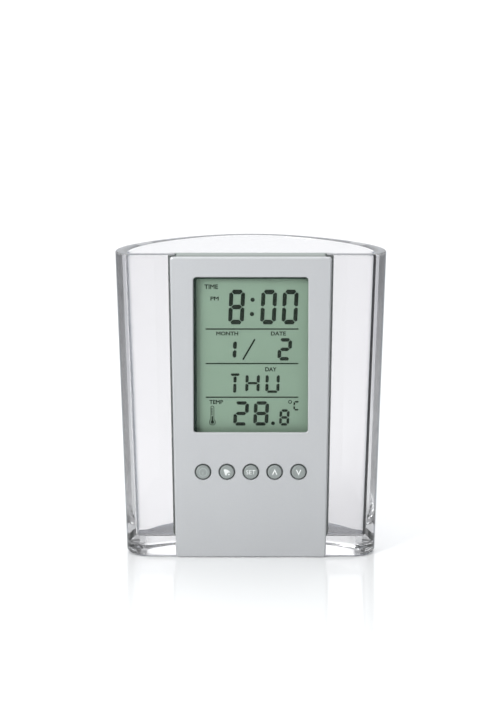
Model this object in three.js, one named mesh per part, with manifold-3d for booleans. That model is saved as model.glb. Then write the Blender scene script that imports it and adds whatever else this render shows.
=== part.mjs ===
// Pen holder clock: a clear moulded pen cup whose front wall has a tall slot,
// and a thin LCD calendar clock that slides down into that slot.
// Millimetres, +Z up, the clock faces -Y. Inside the root group y = 0 is the
// clock's front face, and y grows towards the back of the cup.

import * as THREE from 'three';
import { mergeVertices } from 'three/addons/utils/BufferGeometryUtils.js';
import Module from 'manifold-3d';

const wasm = await Module();
wasm.setup();

// Heights, stacked from the table up
const FLOOR_THICK = 7.0; // solid clear base under the pens
const SEAT_GAP = 0.3; // clock body above the base that it rests on
const KEY_ROW_RISE = 26.2; // key centres above the top of the base
const WINDOW_RISE = 15.1; // lower edge of the window above the key centres
const WINDOW_HEIGHT = 59.1;
const TOP_BORDER = 7.6; // face above the window
const RIM_RISE = 0.4; // cup rim above the top of the clock
const FACE_BOTTOM = 0.1; // lower edge of the face above the table

// Widths, from the window outwards; every border is wider at the top
const WINDOW_WIDTH = 42.3;
const FACE_SIDE_TOP = 8.55; // face beside the window, at the top of the clock
const FACE_SIDE_BOTTOM = 6.8; // and at its lower edge
const CUP_SIDE_TOP = 20.3; // cup beside the face, at the rim
const CUP_SIDE_BOTTOM = 18.45; // and at the table

// Pen cup
const CUP_DEPTH_TOP = 37.0; // flat front to the middle of the back, at the rim
const CUP_DEPTH_BOTTOM = 34.0; // and at the table
const FRONT_WALL = 4.2;
const SIDE_WALL = 4.6;
const BACK_WALL = 3.2;
const CUP_CORNER = 8.5; // front corners in plan
const CAVITY_CORNER = 0.9;
const SIDE_PULL = 11.0; // how far each side runs straight back
const BACK_PULL = 22.0; // how far the back runs straight across
const RIM_ROUND = 0.6;
const BASE_ROUND = 1.4;

// Fit of the clock in the slot
const SLIDE_GAP = 0.25; // front and back of the wall to the clock's two flanges
const EDGE_GAP = 0.3; // edge of the slot to the clock's body
const FLANGE_REACH = 2.0; // how far the face covers the wall beside the body
const REAR_REACH = 0.8; // rear flange beyond the face

// Clock case
const CASE_DEPTH = 8.2; // front face to back
const CASE_WALL = 1.2;
const FLANGE_THICK = 0.95;
const FACE_CORNER = 0.9;
const FACE_BEVEL = 0.5;
const REAR_BEVEL = 0.9;
const WINDOW_CORNER = 1.1;
const WINDOW_BEVEL = 0.3;
const PARTING_FRONT = 3.4; // rear edge of the front half of the case
const PARTING_GAP = 0.2;

// Keys
const KEY_NAMES = ['mode', 'alarm', 'set', 'up', 'down'];
const KEY_PITCH = 8.87;
const KEY_HOLE = 6.1; // diameter
const KEY_GAP = 0.45; // key to hole, at each side
const KEY_PROUD = 0.5;
const KEY_EDGE = 0.35;
const KEY_FLANGE = 0.55; // flange beyond the hole
const KEY_FLANGE_THICK = 0.6;
const KEY_TRAVEL = 0.9;
const PILL_RADIUS = 1.8;
const PILL_DEPTH = 0.95;
const MAT_THICK = 0.7;
const MAT_HALF_HEIGHT = 4.2;
const MAT_COLLAR = 0.25;
const MAT_HOLE_GAP = 0.4;

// Display stack, from the front
const LENS_THICK = 0.8;
const LENS_MARGIN = 1.4;
const POLARISER_THICK = 0.2;
const POLARISER_MARGIN = 0.6;
const GLASS_THICK = 0.5;
const GLASS_MARGIN = 2.15; // glass beyond the window, at the sides
const GLASS_MARGIN_TOP = 1.6;
const GLASS_MARGIN_BOTTOM = 1.3; // to the edge of the rear glass
const LEDGE = 2.6; // front glass below the rear glass, for the contacts
const REFLECTOR_THICK = 0.25;
const LAYER_GAP = 0.05;
const HOLDER_LIP = 0.35;
const HOLDER_WALL = 1.6; // above the glass
const HOLDER_FOOT = 1.3; // below it
const HOLDER_SIDE_GAP = 0.2; // holder to the sides of the case
const HOLDER_GAP = 0.3;
const STRIP_HEIGHT = 1.4;

// Circuit board and what it carries
const BOARD_GAP = 0.4; // display to the board
const BOARD_THICK = 0.8;
const BOARD_BELOW_KEYS = 4.6;
const BOARD_SIDE_GAP = 0.6; // board to the sides of the case
const BOARD_EDGE = 1.2; // centre of a side screw to the edge of the board
const BOARD_ABOVE_HOLDER = 0.5;
const CHIP_RADIUS = 4.4;
const CHIP_HEIGHT = 1.1;
const CRYSTAL_RADIUS = 0.75;
const CRYSTAL_LENGTH = 5.0;
const SENSOR_RADIUS = 0.8;
const PART_GAP = 0.2; // parts on the board to the back wall
const LEAD_RADIUS = 0.2;
const WIRE_RADIUS = 0.4;
const BUZZER_RADIUS = 7.5;
const BUZZER_PLATE = 0.2;
const BUZZER_CERAMIC_RADIUS = 5.0;
const BUZZER_RISE = 0.35; // ring that holds the disc off the case
const WIRE_GAP = 0.15; // on both sides of the sounder's wires
const WIRE_SPLAY = 1.1; // a cell wire ends this much further from the middle

// Button cells, their well and the sliding door
const CELL_RADIUS = 5.8;
const CELL_THICK = 4.2;
const CELL_BETWEEN = 1.2; // room between the two cells
const CELL_SLACK = 0.6; // cells to the door
const CONTACT_THICK = 0.25;
const CONTACT_CLEAR = 0.12; // cell to the contact beside it
const CONTACT_GAP = 0.03; // that contact to the side of the well
const LEAD_INSET = 3.6; // negative lead to the side of the well
const LEAD_HALF = 0.8;
const LEAD_GAP = 0.4;
const WELL_WALL = 1.0;
const WELL_FLOOR = 0.6;
const WELL_RISE = 2.0; // bottom of the well above the clock's underside
const DOOR_THICK = 1.0;
const DOOR_LAP = 1.3; // door beyond the cell space
const DOOR_GAP = 0.3;
const DOOR_TRAVEL = 5.5;
const DOOR_FRAME = 1.8;
const GRIP_HALF = 6.0; // grip ribs across the door
const LIP_ROOT = 0.5; // part of a lip under the door
const LIP_REACH = 1.2;
const LIP_THICK = 0.5;
const LIP_LENGTH = 3.6;

// Screws
const CASE_SCREW = { head: 1.9, headDepth: 0.9, shank: 0.9, boss: 2.2 };
const BOARD_SCREW = { head: 1.5, headDepth: 0.7, shank: 0.7, boss: 1.6 };
const SCREW_GAP = 0.2;
const CASE_SCREW_INSET = 2.5; // centre of a lower screw to the inside of the case
const CASE_SCREW_RISE = 4.7; // lower screws above the clock's underside
const MIDDLE_SCREW_DROP = 2.6; // middle screws below the display holder
const BOARD_SCREW_SPREAD = 12.0; // upper board screws from the middle
const BOARD_SCREW_DROP = 2.2; // lower board screws below the key centres

// Places that follow from the sizes above
const bodyBottom = FLOOR_THICK + SEAT_GAP;
const keyRow = FLOOR_THICK + KEY_ROW_RISE;
const windowBottom = keyRow + WINDOW_RISE;
const windowTop = windowBottom + WINDOW_HEIGHT;
const windowHalf = WINDOW_WIDTH / 2;
const clockTop = windowTop + TOP_BORDER;
const rimTop = clockTop + RIM_RISE;
const cupFront = FLANGE_THICK + SLIDE_GAP;
const cavityFront = cupFront + FRONT_WALL;
const rearFlangeFront = cavityFront + SLIDE_GAP;
const keyRadius = KEY_HOLE / 2 - KEY_GAP;
const keyFlangeRadius = KEY_HOLE / 2 + KEY_FLANGE;
const keyFlangeFront = CASE_WALL + 0.3;
const keyBack = keyFlangeFront + KEY_FLANGE_THICK;
const glassHalf = windowHalf + GLASS_MARGIN;
const glassTop = windowTop + GLASS_MARGIN_TOP;
const rearGlassBottom = windowBottom - GLASS_MARGIN_BOTTOM;
const glassBottom = rearGlassBottom - LEDGE;
const holderFront = CASE_WALL + 2 * LAYER_GAP + LENS_THICK + LAYER_GAP;
const frontGlassFront = holderFront + HOLDER_LIP + LAYER_GAP;
const rearGlassFront = frontGlassFront + GLASS_THICK + LAYER_GAP;
const reflectorFront = rearGlassFront + GLASS_THICK + LAYER_GAP;
const holderBottom = glassBottom - HOLDER_GAP - HOLDER_FOOT;
const holderTop = glassTop + HOLDER_GAP + HOLDER_WALL;
const holderHalf = Math.min(innerHalf(holderBottom), innerHalf(holderTop)) - HOLDER_SIDE_GAP;
const boardFront = reflectorFront + REFLECTOR_THICK + BOARD_GAP;
const boardBack = boardFront + BOARD_THICK;
const wireLine = boardBack + WIRE_RADIUS + 0.1; // wires soldered to the board
const rearWallFront = CASE_DEPTH - CASE_WALL;
const ringFront = Math.max(
  boardBack + 2 * (WIRE_GAP + WIRE_RADIUS + BUZZER_PLATE) + LAYER_GAP,
  rearWallFront - BUZZER_RISE,
);
const discFront = ringFront - LAYER_GAP - 2 * BUZZER_PLATE; // ceramic side of the buzzer disc
const matHalf = 2 * KEY_PITCH + PILL_RADIUS + MAT_HOLE_GAP + 1.2;
const boardHalf = innerHalf(keyRow - BOARD_BELOW_KEYS) - BOARD_SIDE_GAP;
const sideScrewX = boardHalf - BOARD_EDGE;
const sideScrewDrop = Math.max(BOARD_SCREW_DROP, dropBesideKey(sideScrewX));
const boardBottom = keyRow - Math.max(BOARD_BELOW_KEYS, sideScrewDrop + BOARD_EDGE + 0.3);
const boardTop = holderTop + BOARD_ABOVE_HOLDER;
const cellX = CELL_RADIUS + CELL_BETWEEN / 2;
const contactReach = CELL_RADIUS + CONTACT_CLEAR + CONTACT_THICK; // back of a contact to its cell's centre
const cellRoom = contactReach + CONTACT_GAP;
const cellHalf = cellX + cellRoom;
const clipEnd = cellX + contactReach;
const leadX = cellHalf - LEAD_INSET;
const wellBottom = bodyBottom + WELL_RISE + WELL_WALL;
const wellTop = wellBottom + 2 * cellRoom;
const cellRow = (wellBottom + wellTop) / 2;
const doorFront = CASE_DEPTH - DOOR_THICK;
const cellFront = doorFront - CELL_SLACK - CELL_THICK;
const contactFront = cellFront - 0.1 - CONTACT_THICK;
const wellFront = contactFront - LAYER_GAP - WELL_FLOOR;
const doorHalf = cellHalf + DOOR_LAP;
const doorBottom = wellBottom - WELL_WALL + DOOR_GAP;
const doorTop = wellTop + WELL_WALL - DOOR_GAP;
const buzzerZ = windowBottom + 8;
const chipPlace = [4, windowTop - 20];
const crystalPlace = [12, windowTop - 34];
const sensorPlace = [-15, windowBottom + 3];

// Half width of the clock's face at a height
function faceHalf(z) {
  const share = (z - FACE_BOTTOM) / (clockTop - FACE_BOTTOM);
  const side = THREE.MathUtils.lerp(FACE_SIDE_BOTTOM, FACE_SIDE_TOP, share);
  return windowHalf + side;
}

// Half width of the room inside the case at a height
function innerHalf(z) {
  return faceHalf(z) - FLANGE_REACH - CASE_WALL;
}

// How far below the key centres a side screw has to be to clear the last key
function dropBesideKey(x) {
  const reach = keyFlangeRadius + BOARD_SCREW.boss + SCREW_GAP;
  const beside = Math.min(reach, x - 2 * KEY_PITCH);
  return Math.sqrt(reach ** 2 - beside ** 2);
}

// Closed outline with every corner rounded, counterclockwise as its corners are
function roundedOutline(corners, radius, steps = 4) {
  return corners.flatMap((corner, i) => {
    const before = corners.at(i - 1).clone().sub(corner).normalize();
    const after = corners[(i + 1) % corners.length].clone().sub(corner).normalize();
    const halfAngle = before.angleTo(after) / 2;
    const middle = before.clone().add(after).normalize();
    const centre = corner.clone().addScaledVector(middle, radius / Math.sin(halfAngle));
    const start = before.multiplyScalar(radius / Math.tan(halfAngle)).add(corner).sub(centre);
    const sweep = Math.PI - 2 * halfAngle;
    return Array.from({ length: steps + 1 }, (_, k) => {
      return start.clone().rotateAround(new THREE.Vector2(), (sweep * k) / steps).add(centre);
    });
  });
}

function rectangle(left, right, bottom, top, radius = 0) {
  const corners = [
    new THREE.Vector2(left, bottom),
    new THREE.Vector2(right, bottom),
    new THREE.Vector2(right, top),
    new THREE.Vector2(left, top),
  ];
  return radius > 0 ? roundedOutline(corners, radius) : corners;
}

// The window's outline, grown by a margin on every side
function windowOutline(margin, radius = WINDOW_CORNER + margin) {
  const half = windowHalf + margin;
  return rectangle(-half, half, windowBottom - margin, windowTop + margin, radius);
}

// Outline that follows the face's slanted sides between two heights
function slantedOutline(reach, bottom, top, radius) {
  const low = faceHalf(bottom) + reach;
  const high = faceHalf(top) + reach;
  const corners = [
    new THREE.Vector2(-low, bottom),
    new THREE.Vector2(low, bottom),
    new THREE.Vector2(high, top),
    new THREE.Vector2(-high, top),
  ];
  return roundedOutline(corners, radius);
}

// Case body between the two flanges, drawn in by an inset
function bodyOutline(inset) {
  const reach = -FLANGE_REACH - inset;
  return slantedOutline(reach, bodyBottom + inset, clockTop - inset, FACE_CORNER);
}

// Skin over rings of points, closed by a fan at each end
function loft(rings) {
  const count = rings[0].length;
  const points = rings.flat();
  const index = [];
  for (let r = 0; r + 1 < rings.length; r += 1) {
    for (let i = 0; i < count; i += 1) {
      const a = r * count + i;
      const b = r * count + ((i + 1) % count);
      index.push(a, b, b + count, a, b + count, a + count);
    }
  }
  for (const [ring, first, flip] of [
    [rings[0], 0, true],
    [rings.at(-1), (rings.length - 1) * count, false],
  ]) {
    const middle = ring.reduce((sum, p) => sum.add(p), new THREE.Vector3()).divideScalar(count);
    const centre = points.push(middle) - 1;
    for (let i = 0; i < count; i += 1) {
      const a = first + i;
      const b = first + ((i + 1) % count);
      index.push(centre, flip ? b : a, flip ? a : b);
    }
  }
  const geometry = new THREE.BufferGeometry().setFromPoints(points);
  geometry.setIndex(index);
  return geometry;
}

// Solid through outlines in x and z, listed from the front to the back
function layers(steps) {
  const rings = steps.map(([y, outline]) => outline.map((p) => new THREE.Vector3(p.x, y, p.y)));
  return loft(rings.reverse());
}

function plate(outline, front, back) {
  return layers([
    [front, outline],
    [back, outline],
  ]);
}

function box(x0, x1, y0, y1, z0, z1) {
  const geometry = new THREE.BoxGeometry(x1 - x0, y1 - y0, z1 - z0);
  return geometry.translate((x0 + x1) / 2, (y0 + y1) / 2, (z0 + z1) / 2);
}

// Round bar along y, with its own radius at each end
function bar(x, z, radius, front, back, radiusFront = radius, segments = 24) {
  const geometry = new THREE.CylinderGeometry(radius, radiusFront, back - front, segments);
  return geometry.translate(x, (front + back) / 2, z);
}

// Solid of revolution about y, from [radius, y] pairs that start and end on the axis
function turned(x, z, profile, segments = 32) {
  const points = profile.map(([radius, y]) => new THREE.Vector2(radius, y));
  return new THREE.LatheGeometry(points, segments).translate(x, 0, z);
}

// Wire or lead along a smooth curve through points
function swept(points, radius, steps = 14) {
  const path = new THREE.CatmullRomCurve3(points.map((p) => new THREE.Vector3(...p)));
  const section = new THREE.Shape().absarc(0, 0, radius, 0, 2 * Math.PI);
  const options = { steps, extrudePath: path, bevelEnabled: false, curveSegments: 4 };
  return new THREE.ExtrudeGeometry(section, options);
}

// Closed solid of a geometry, with its faces pointing out
function toSolid(geometry) {
  const bare = new THREE.BufferGeometry();
  bare.setAttribute('position', geometry.getAttribute('position').clone());
  bare.setIndex(geometry.getIndex());
  const welded = mergeVertices(bare, 1e-4);
  const points = welded.getAttribute('position').array;
  const corners = Array.from(welded.getIndex().array);
  const at = (i) => new THREE.Vector3().fromArray(points, 3 * i);
  let volume = 0;
  const kept = [];
  for (let i = 0; i < corners.length; i += 3) {
    const [a, b, c] = corners.slice(i, i + 3);
    if (a === b || b === c || c === a) continue;
    kept.push([a, b, c]);
    volume += at(a).dot(at(b).cross(at(c)));
  }
  const ordered = volume < 0 ? kept.map(([a, b, c]) => [a, c, b]) : kept;
  return new wasm.Manifold(
    new wasm.Mesh({
      numProp: 3,
      vertProperties: new Float32Array(points),
      triVerts: new Uint32Array(ordered.flat()),
    }),
  );
}

function toGeometry(solid) {
  const mesh = solid.getMesh();
  const geometry = new THREE.BufferGeometry();
  geometry.setAttribute('position', new THREE.BufferAttribute(mesh.vertProperties, 3));
  geometry.setIndex(new THREE.BufferAttribute(mesh.triVerts, 1));
  return geometry;
}

function join(...geometries) {
  return toGeometry(wasm.Manifold.union(geometries.map(toSolid)));
}

function cut(geometry, ...tools) {
  const hole = wasm.Manifold.union(tools.map(toSolid));
  return toGeometry(toSolid(geometry).subtract(hole));
}

// Finishes
const CLEAR = { color: 0xeaf0f2, roughness: 0.05, metalness: 0, transparent: true, opacity: 0.35 };
const SILVER = { color: 0xc9ccd0, roughness: 0.42, metalness: 0.35 };
const GREY = { color: 0x8b9490, roughness: 0.55, metalness: 0 };
const KEY_GREY = { color: 0x96a09c, roughness: 0.5, metalness: 0 };
const RUBBER = { color: 0x2b2d2e, roughness: 0.85, metalness: 0 };
const LCD_GREEN = { color: 0x8ba392, roughness: 0.3, metalness: 0 };
const HOLDER_WHITE = { color: 0xe6e6e0, roughness: 0.6, metalness: 0 };
const BOARD_GREEN = { color: 0x2f6b45, roughness: 0.55, metalness: 0 };
const EPOXY = { color: 0x17181a, roughness: 0.35, metalness: 0 };
const STEEL = { color: 0xb9bcc0, roughness: 0.3, metalness: 1 };
const BRASS = { color: 0xc9a45a, roughness: 0.35, metalness: 1 };
const WIRE_RED = { color: 0xa8221e, roughness: 0.5, metalness: 0 };
const WIRE_BLACK = { color: 0x1c1c1e, roughness: 0.5, metalness: 0 };

function piece(name, geometry, finish) {
  const closed = toGeometry(toSolid(geometry));
  closed.computeVertexNormals();
  const mesh = new THREE.Mesh(closed, new THREE.MeshStandardMaterial({ ...finish }));
  mesh.name = name;
  return mesh;
}

function group(name, ...children) {
  const made = new THREE.Group();
  made.name = name;
  made.add(...children.flat());
  return made;
}

// Pen cup

// Plan of the cup at a height: flat front, round corners, bowed back
function cupRing(z, half, front, back, corner) {
  const turn = new THREE.EllipseCurve(half - corner, front + corner, corner, corner, -Math.PI / 2, 0);
  const bow = new THREE.CubicBezierCurve(
    new THREE.Vector2(half, front + corner),
    new THREE.Vector2(half, front + corner + SIDE_PULL),
    new THREE.Vector2(BACK_PULL, back),
    new THREE.Vector2(0, back),
  );
  const right = [...turn.getPoints(8), ...bow.getPoints(26).slice(1)];
  const left = right.slice(0, -1).reverse();
  const outline = [...right, ...left.map((p) => new THREE.Vector2(-p.x, p.y))];
  return outline.map((p) => new THREE.Vector3(p.x, p.y, z));
}

function cupHalf(z) {
  const rim = faceHalf(clockTop) + CUP_SIDE_TOP;
  const base = faceHalf(FACE_BOTTOM) + CUP_SIDE_BOTTOM;
  return THREE.MathUtils.lerp(base, rim, z / rimTop);
}

function cupBack(z) {
  return cupFront + THREE.MathUtils.lerp(CUP_DEPTH_BOTTOM, CUP_DEPTH_TOP, z / rimTop);
}

function outerRing(z, inset = 0) {
  const corner = CUP_CORNER - inset;
  return cupRing(z, cupHalf(z) - inset, cupFront + inset, cupBack(z) - inset, corner);
}

function cavityRing(z, flare = 0) {
  const half = cupHalf(z) - SIDE_WALL + flare;
  const back = cupBack(z) - BACK_WALL + flare;
  return cupRing(z, half, cavityFront - flare, back, CAVITY_CORNER);
}

// Height and inset of the steps round a quarter-round edge
function quarterRound(radius, steps = 4) {
  return Array.from({ length: steps + 1 }, (_, k) => {
    const angle = (k / steps) * (Math.PI / 2);
    return [radius * (1 - Math.cos(angle)), radius * (1 - Math.sin(angle))];
  });
}

function holderCup() {
  const foot = quarterRound(BASE_ROUND).map(([rise, inset]) => outerRing(rise, inset));
  const rim = quarterRound(RIM_ROUND).reverse().map(([drop, inset]) => outerRing(rimTop - drop, inset));
  const lip = quarterRound(RIM_ROUND).reverse().map(([drop, inset]) => cavityRing(rimTop - drop, inset));
  const mouth = cavityRing(rimTop, RIM_ROUND).map((p) => p.setZ(rimTop + 1));
  const cavity = loft([cavityRing(FLOOR_THICK), ...lip, mouth]);
  const reach = EDGE_GAP - FLANGE_REACH;
  const slot = [
    new THREE.Vector2(-faceHalf(FLOOR_THICK) - reach, FLOOR_THICK),
    new THREE.Vector2(faceHalf(FLOOR_THICK) + reach, FLOOR_THICK),
    new THREE.Vector2(faceHalf(rimTop + 2) + reach, rimTop + 2),
    new THREE.Vector2(-faceHalf(rimTop + 2) - reach, rimTop + 2),
  ];
  const shell = cut(loft([...foot, ...rim]), cavity, plate(slot, cupFront - 1, cavityFront + 1));
  return piece('holder_cup', shell, CLEAR);
}

// Clock case

function keyX(i) {
  return (i - (KEY_NAMES.length - 1) / 2) * KEY_PITCH;
}

function caseScrewPlaces() {
  const low = bodyBottom + CASE_SCREW_RISE;
  const lowX = faceHalf(low) - FLANGE_REACH - CASE_WALL - CASE_SCREW_INSET;
  const high = holderBottom - MIDDLE_SCREW_DROP;
  return [
    [-lowX, low],
    [lowX, low],
    [-lowX, high],
    [lowX, high],
  ];
}

function boardScrewPlaces() {
  const high = holderBottom - MIDDLE_SCREW_DROP;
  const low = keyRow - sideScrewDrop;
  return [
    [-sideScrewX, low],
    [sideScrewX, low],
    [-BOARD_SCREW_SPREAD, high],
    [BOARD_SCREW_SPREAD, high],
  ];
}

// Posts on the face that the screws bite into, and their pilot holes
function bezelPosts() {
  const end = boardFront - 0.3;
  const post = (screw) => ([x, z]) => bar(x, z, screw.boss, CASE_WALL - 0.2, end);
  const pilot = (screw) => ([x, z]) => bar(x, z, screw.shank + SCREW_GAP, CASE_WALL + 0.4, end + 1);
  return {
    posts: [
      ...caseScrewPlaces().map(post(CASE_SCREW)),
      ...boardScrewPlaces().map(post(BOARD_SCREW)),
    ],
    pilots: [
      ...caseScrewPlaces().map(pilot(CASE_SCREW)),
      ...boardScrewPlaces().map(pilot(BOARD_SCREW)),
    ],
  };
}

function frontBezel() {
  const inset = FACE_BEVEL;
  const bevelled = slantedOutline(-inset, FACE_BOTTOM + inset, clockTop - inset, FACE_CORNER);
  const full = slantedOutline(0, FACE_BOTTOM, clockTop, FACE_CORNER);
  const face = layers([
    [0, bevelled],
    [FACE_BEVEL, full],
    [FLANGE_THICK, full],
  ]);
  const body = plate(bodyOutline(0), FLANGE_THICK - 0.2, PARTING_FRONT);
  const hollow = plate(bodyOutline(CASE_WALL), CASE_WALL, PARTING_FRONT + 1);
  const window = layers([
    [-1, windowOutline(WINDOW_BEVEL + 1)],
    [0, windowOutline(WINDOW_BEVEL)],
    [WINDOW_BEVEL, windowOutline(0)],
    [CASE_WALL + 1, windowOutline(0)],
  ]);
  const keyHoles = KEY_NAMES.flatMap((_, i) => {
    const radius = KEY_HOLE / 2;
    return [
      bar(keyX(i), keyRow, radius, -1, CASE_WALL + 1, radius, 48),
      bar(keyX(i), keyRow, radius, -0.2, 0.2, radius + 0.4, 48),
    ];
  });
  const { posts, pilots } = bezelPosts();
  const side = cellHalf + WELL_WALL + 0.3;
  const [low, high] = [wellBottom - WELL_WALL - 0.3, wellTop + WELL_WALL + 0.3];
  const wellRoom = box(-side, side, wellFront - 0.15, PARTING_FRONT + 1, low, high);
  const shell = cut(join(face, body), hollow, wellRoom);
  return piece('front_bezel', cut(join(shell, ...posts), window, ...keyHoles, ...pilots), SILVER);
}

// Rear half of the case: sleeve in the slot, flange behind the wall, back wall
function rearCasing() {
  const bevel = REAR_BEVEL;
  const flange = slantedOutline(REAR_REACH, bodyBottom, clockTop, FACE_CORNER);
  const backFace = slantedOutline(REAR_REACH - bevel, bodyBottom + bevel, clockTop - bevel, FACE_CORNER);
  const sleeve = plate(bodyOutline(0), PARTING_FRONT + PARTING_GAP, rearFlangeFront + 0.5);
  const back = layers([
    [rearFlangeFront, flange],
    [CASE_DEPTH - bevel, flange],
    [CASE_DEPTH, backFace],
  ]);
  const hollow = plate(bodyOutline(CASE_WALL), PARTING_FRONT - 1, rearWallFront);
  return cut(join(sleeve, back), hollow);
}

// Cell well with its door frame, and the spaces cut in them
function cellWell() {
  const outer = cellHalf + WELL_WALL;
  const low = wellBottom - WELL_WALL;
  const high = wellTop + WELL_WALL;
  const frameHalf = doorHalf + DOOR_GAP + DOOR_FRAME;
  const frameFront = doorFront - 1.0;
  const recessTop = doorTop + DOOR_TRAVEL + DOOR_GAP;
  const floor = wellFront + WELL_FLOOR;
  const lipEnd = doorHalf + LIP_REACH + DOOR_GAP;
  const lipBottom = doorBottom + 0.5;
  const lipTop = lipBottom + LIP_LENGTH + DOOR_GAP;
  const grooveTop = lipTop + DOOR_TRAVEL + DOOR_GAP;
  const grooveFront = doorFront - 0.6;
  const grooveBack = grooveFront + LIP_THICK + 0.4;
  const behind = CASE_DEPTH + 1;
  const leadSlot = (x0, x1) => box(x0, x1, floor, floor + 0.8, wellTop - 1, high + 1);
  const wireChannel = (from, to) => {
    const room = WIRE_RADIUS + WIRE_GAP;
    const back = wireLine + WIRE_RADIUS + WIRE_GAP;
    return box(Math.min(from, to) - room, Math.max(from, to) + room, boardFront, back, high, recessTop + 2);
  };
  const sides = [-1, 1].flatMap((side) => {
    const near = side * (doorHalf - LIP_ROOT - DOOR_GAP);
    const far = side * lipEnd;
    const [x0, x1] = [Math.min(near, far), Math.max(near, far)];
    return [
      box(x0, x1, grooveFront, grooveBack, lipBottom - DOOR_GAP, grooveTop),
      box(x0, x1, grooveFront, behind, lipTop, grooveTop),
    ];
  });
  return {
    solids: [
      box(-outer, outer, wellFront, rearWallFront + 0.2, low, high),
      box(-frameHalf, frameHalf, frameFront, rearWallFront + 0.2, low - 0.4, recessTop + 1.0),
    ],
    cuts: [
      box(-cellHalf, cellHalf, floor, behind, wellBottom, wellTop),
      box(
        -doorHalf - DOOR_GAP,
        doorHalf + DOOR_GAP,
        doorFront - 0.15,
        behind,
        doorBottom - DOOR_GAP,
        recessTop,
      ),
      ...sides,
      leadSlot(-leadX - LEAD_HALF - LEAD_GAP, -leadX + LEAD_HALF + LEAD_GAP),
      leadSlot(clipEnd - 2 * LEAD_HALF - LEAD_GAP, clipEnd + 0.2),
      wireChannel(-leadX, -leadX * WIRE_SPLAY),
      wireChannel(clipEnd - LEAD_HALF, (clipEnd - LEAD_HALF) * WIRE_SPLAY),
    ],
  };
}

// Screw tubes that come down on the board or on the posts, and their holes
function shellTubes() {
  const tubes = caseScrewPlaces().map(([x, z], i) => {
    const end = i < 2 ? boardFront : boardBack + 0.3;
    return bar(x, z, CASE_SCREW.boss, end, rearWallFront + 0.2);
  });
  const holes = caseScrewPlaces().flatMap(([x, z]) => [
    bar(x, z, CASE_SCREW.shank + SCREW_GAP, boardFront - 1, CASE_DEPTH + 1),
    bar(x, z, CASE_SCREW.head + SCREW_GAP, CASE_DEPTH - CASE_SCREW.headDepth - 0.2, CASE_DEPTH + 1),
  ]);
  return { tubes, holes };
}

// Ring that the buzzer disc is glued to, and the holes that let the sound out
function buzzerSeat() {
  const back = Math.max(rearWallFront, ringFront + BUZZER_RISE) + 0.2;
  const ring = cut(
    bar(0, buzzerZ, BUZZER_RADIUS + 0.3, ringFront, back, undefined, 36),
    bar(0, buzzerZ, BUZZER_RADIUS - 1.2, ringFront - 1, back + 1, undefined, 36),
  );
  const spread = 3.4;
  const places = Array.from({ length: 6 }, (_, k) => {
    const angle = (k * Math.PI) / 3;
    return [spread * Math.cos(angle), buzzerZ + spread * Math.sin(angle)];
  });
  const holes = [[0, buzzerZ], ...places].map(([x, z]) => {
    return bar(x, z, 0.8, rearWallFront - 1, CASE_DEPTH + 1, undefined, 16);
  });
  return { ring, holes };
}

// Room in the back wall for the parts on the board, where the case is shallow
function partPockets() {
  const [crystalX, crystalZ] = crystalPlace;
  const [sensorX, sensorZ] = sensorPlace;
  const reach = CRYSTAL_LENGTH / 2 + 2.2;
  const canBack = boardBack + LAYER_GAP + 2 * CRYSTAL_RADIUS + PART_GAP;
  const beadBack = boardBack + LAYER_GAP + 2 * SENSOR_RADIUS + PART_GAP;
  const chipBack = boardBack + LAYER_GAP + CHIP_HEIGHT + PART_GAP;
  const discBack = ringFront + BUZZER_RISE - LAYER_GAP;
  return [
    box(crystalX - reach, crystalX + reach, boardBack, canBack, crystalZ - 1.2, crystalZ + 1.2),
    box(sensorX - 1.3, sensorX + 1.3, boardBack, beadBack, sensorZ - 1.3, sensorZ + 3.8),
    bar(...chipPlace, CHIP_RADIUS + PART_GAP, boardBack, chipBack),
    bar(0, buzzerZ, BUZZER_RADIUS + 0.5, boardBack, discBack, undefined, 36),
  ];
}

function rearShell() {
  const well = cellWell();
  const { tubes, holes } = shellTubes();
  const seat = buzzerSeat();
  const roomy = cut(join(rearCasing(), ...well.solids, ...tubes), ...partPockets());
  const shell = cut(join(roomy, seat.ring), ...well.cuts, ...holes, ...seat.holes);
  return piece('rear_shell', shell, GREY);
}

function windowLens() {
  const front = CASE_WALL + LAYER_GAP;
  return piece('window_lens', plate(windowOutline(LENS_MARGIN), front, front + LENS_THICK), CLEAR);
}

function batteryDoor() {
  const panel = box(-doorHalf, doorHalf, doorFront, CASE_DEPTH, doorBottom, doorTop);
  const lips = [-1, 1].map((side) => {
    const near = side * (doorHalf - LIP_ROOT);
    const far = side * (doorHalf + LIP_REACH);
    const bottom = doorBottom + 0.5;
    const front = doorFront - 0.3;
    const [x0, x1] = [Math.min(near, far), Math.max(near, far)];
    return box(x0, x1, front, front + LIP_THICK, bottom, bottom + LIP_LENGTH);
  });
  const ribs = Array.from({ length: 4 }, (_, k) => {
    const z = doorTop - 2.2 - 1.6 * k;
    return box(-GRIP_HALF, GRIP_HALF, CASE_DEPTH - 0.2, CASE_DEPTH + 0.35, z, z + 0.7);
  });
  return piece('battery_door', join(panel, ...lips, ...ribs), GREY);
}

// Display

function displayStack() {
  const polariserFront = holderFront + LAYER_GAP;
  const rearOutline = rectangle(-glassHalf, glassHalf, rearGlassBottom, glassTop);
  const frontOutline = rectangle(-glassHalf, glassHalf, glassBottom, glassTop);
  const polariser = windowOutline(POLARISER_MARGIN);
  return [
    piece('lcd_front_polariser', plate(polariser, polariserFront, polariserFront + POLARISER_THICK), CLEAR),
    piece('lcd_front_glass', plate(frontOutline, frontGlassFront, frontGlassFront + GLASS_THICK), CLEAR),
    piece('lcd_rear_glass', plate(rearOutline, rearGlassFront, rearGlassFront + GLASS_THICK), CLEAR),
    piece('lcd_reflector', plate(rearOutline, reflectorFront, reflectorFront + REFLECTOR_THICK), LCD_GREEN),
  ];
}

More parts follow.
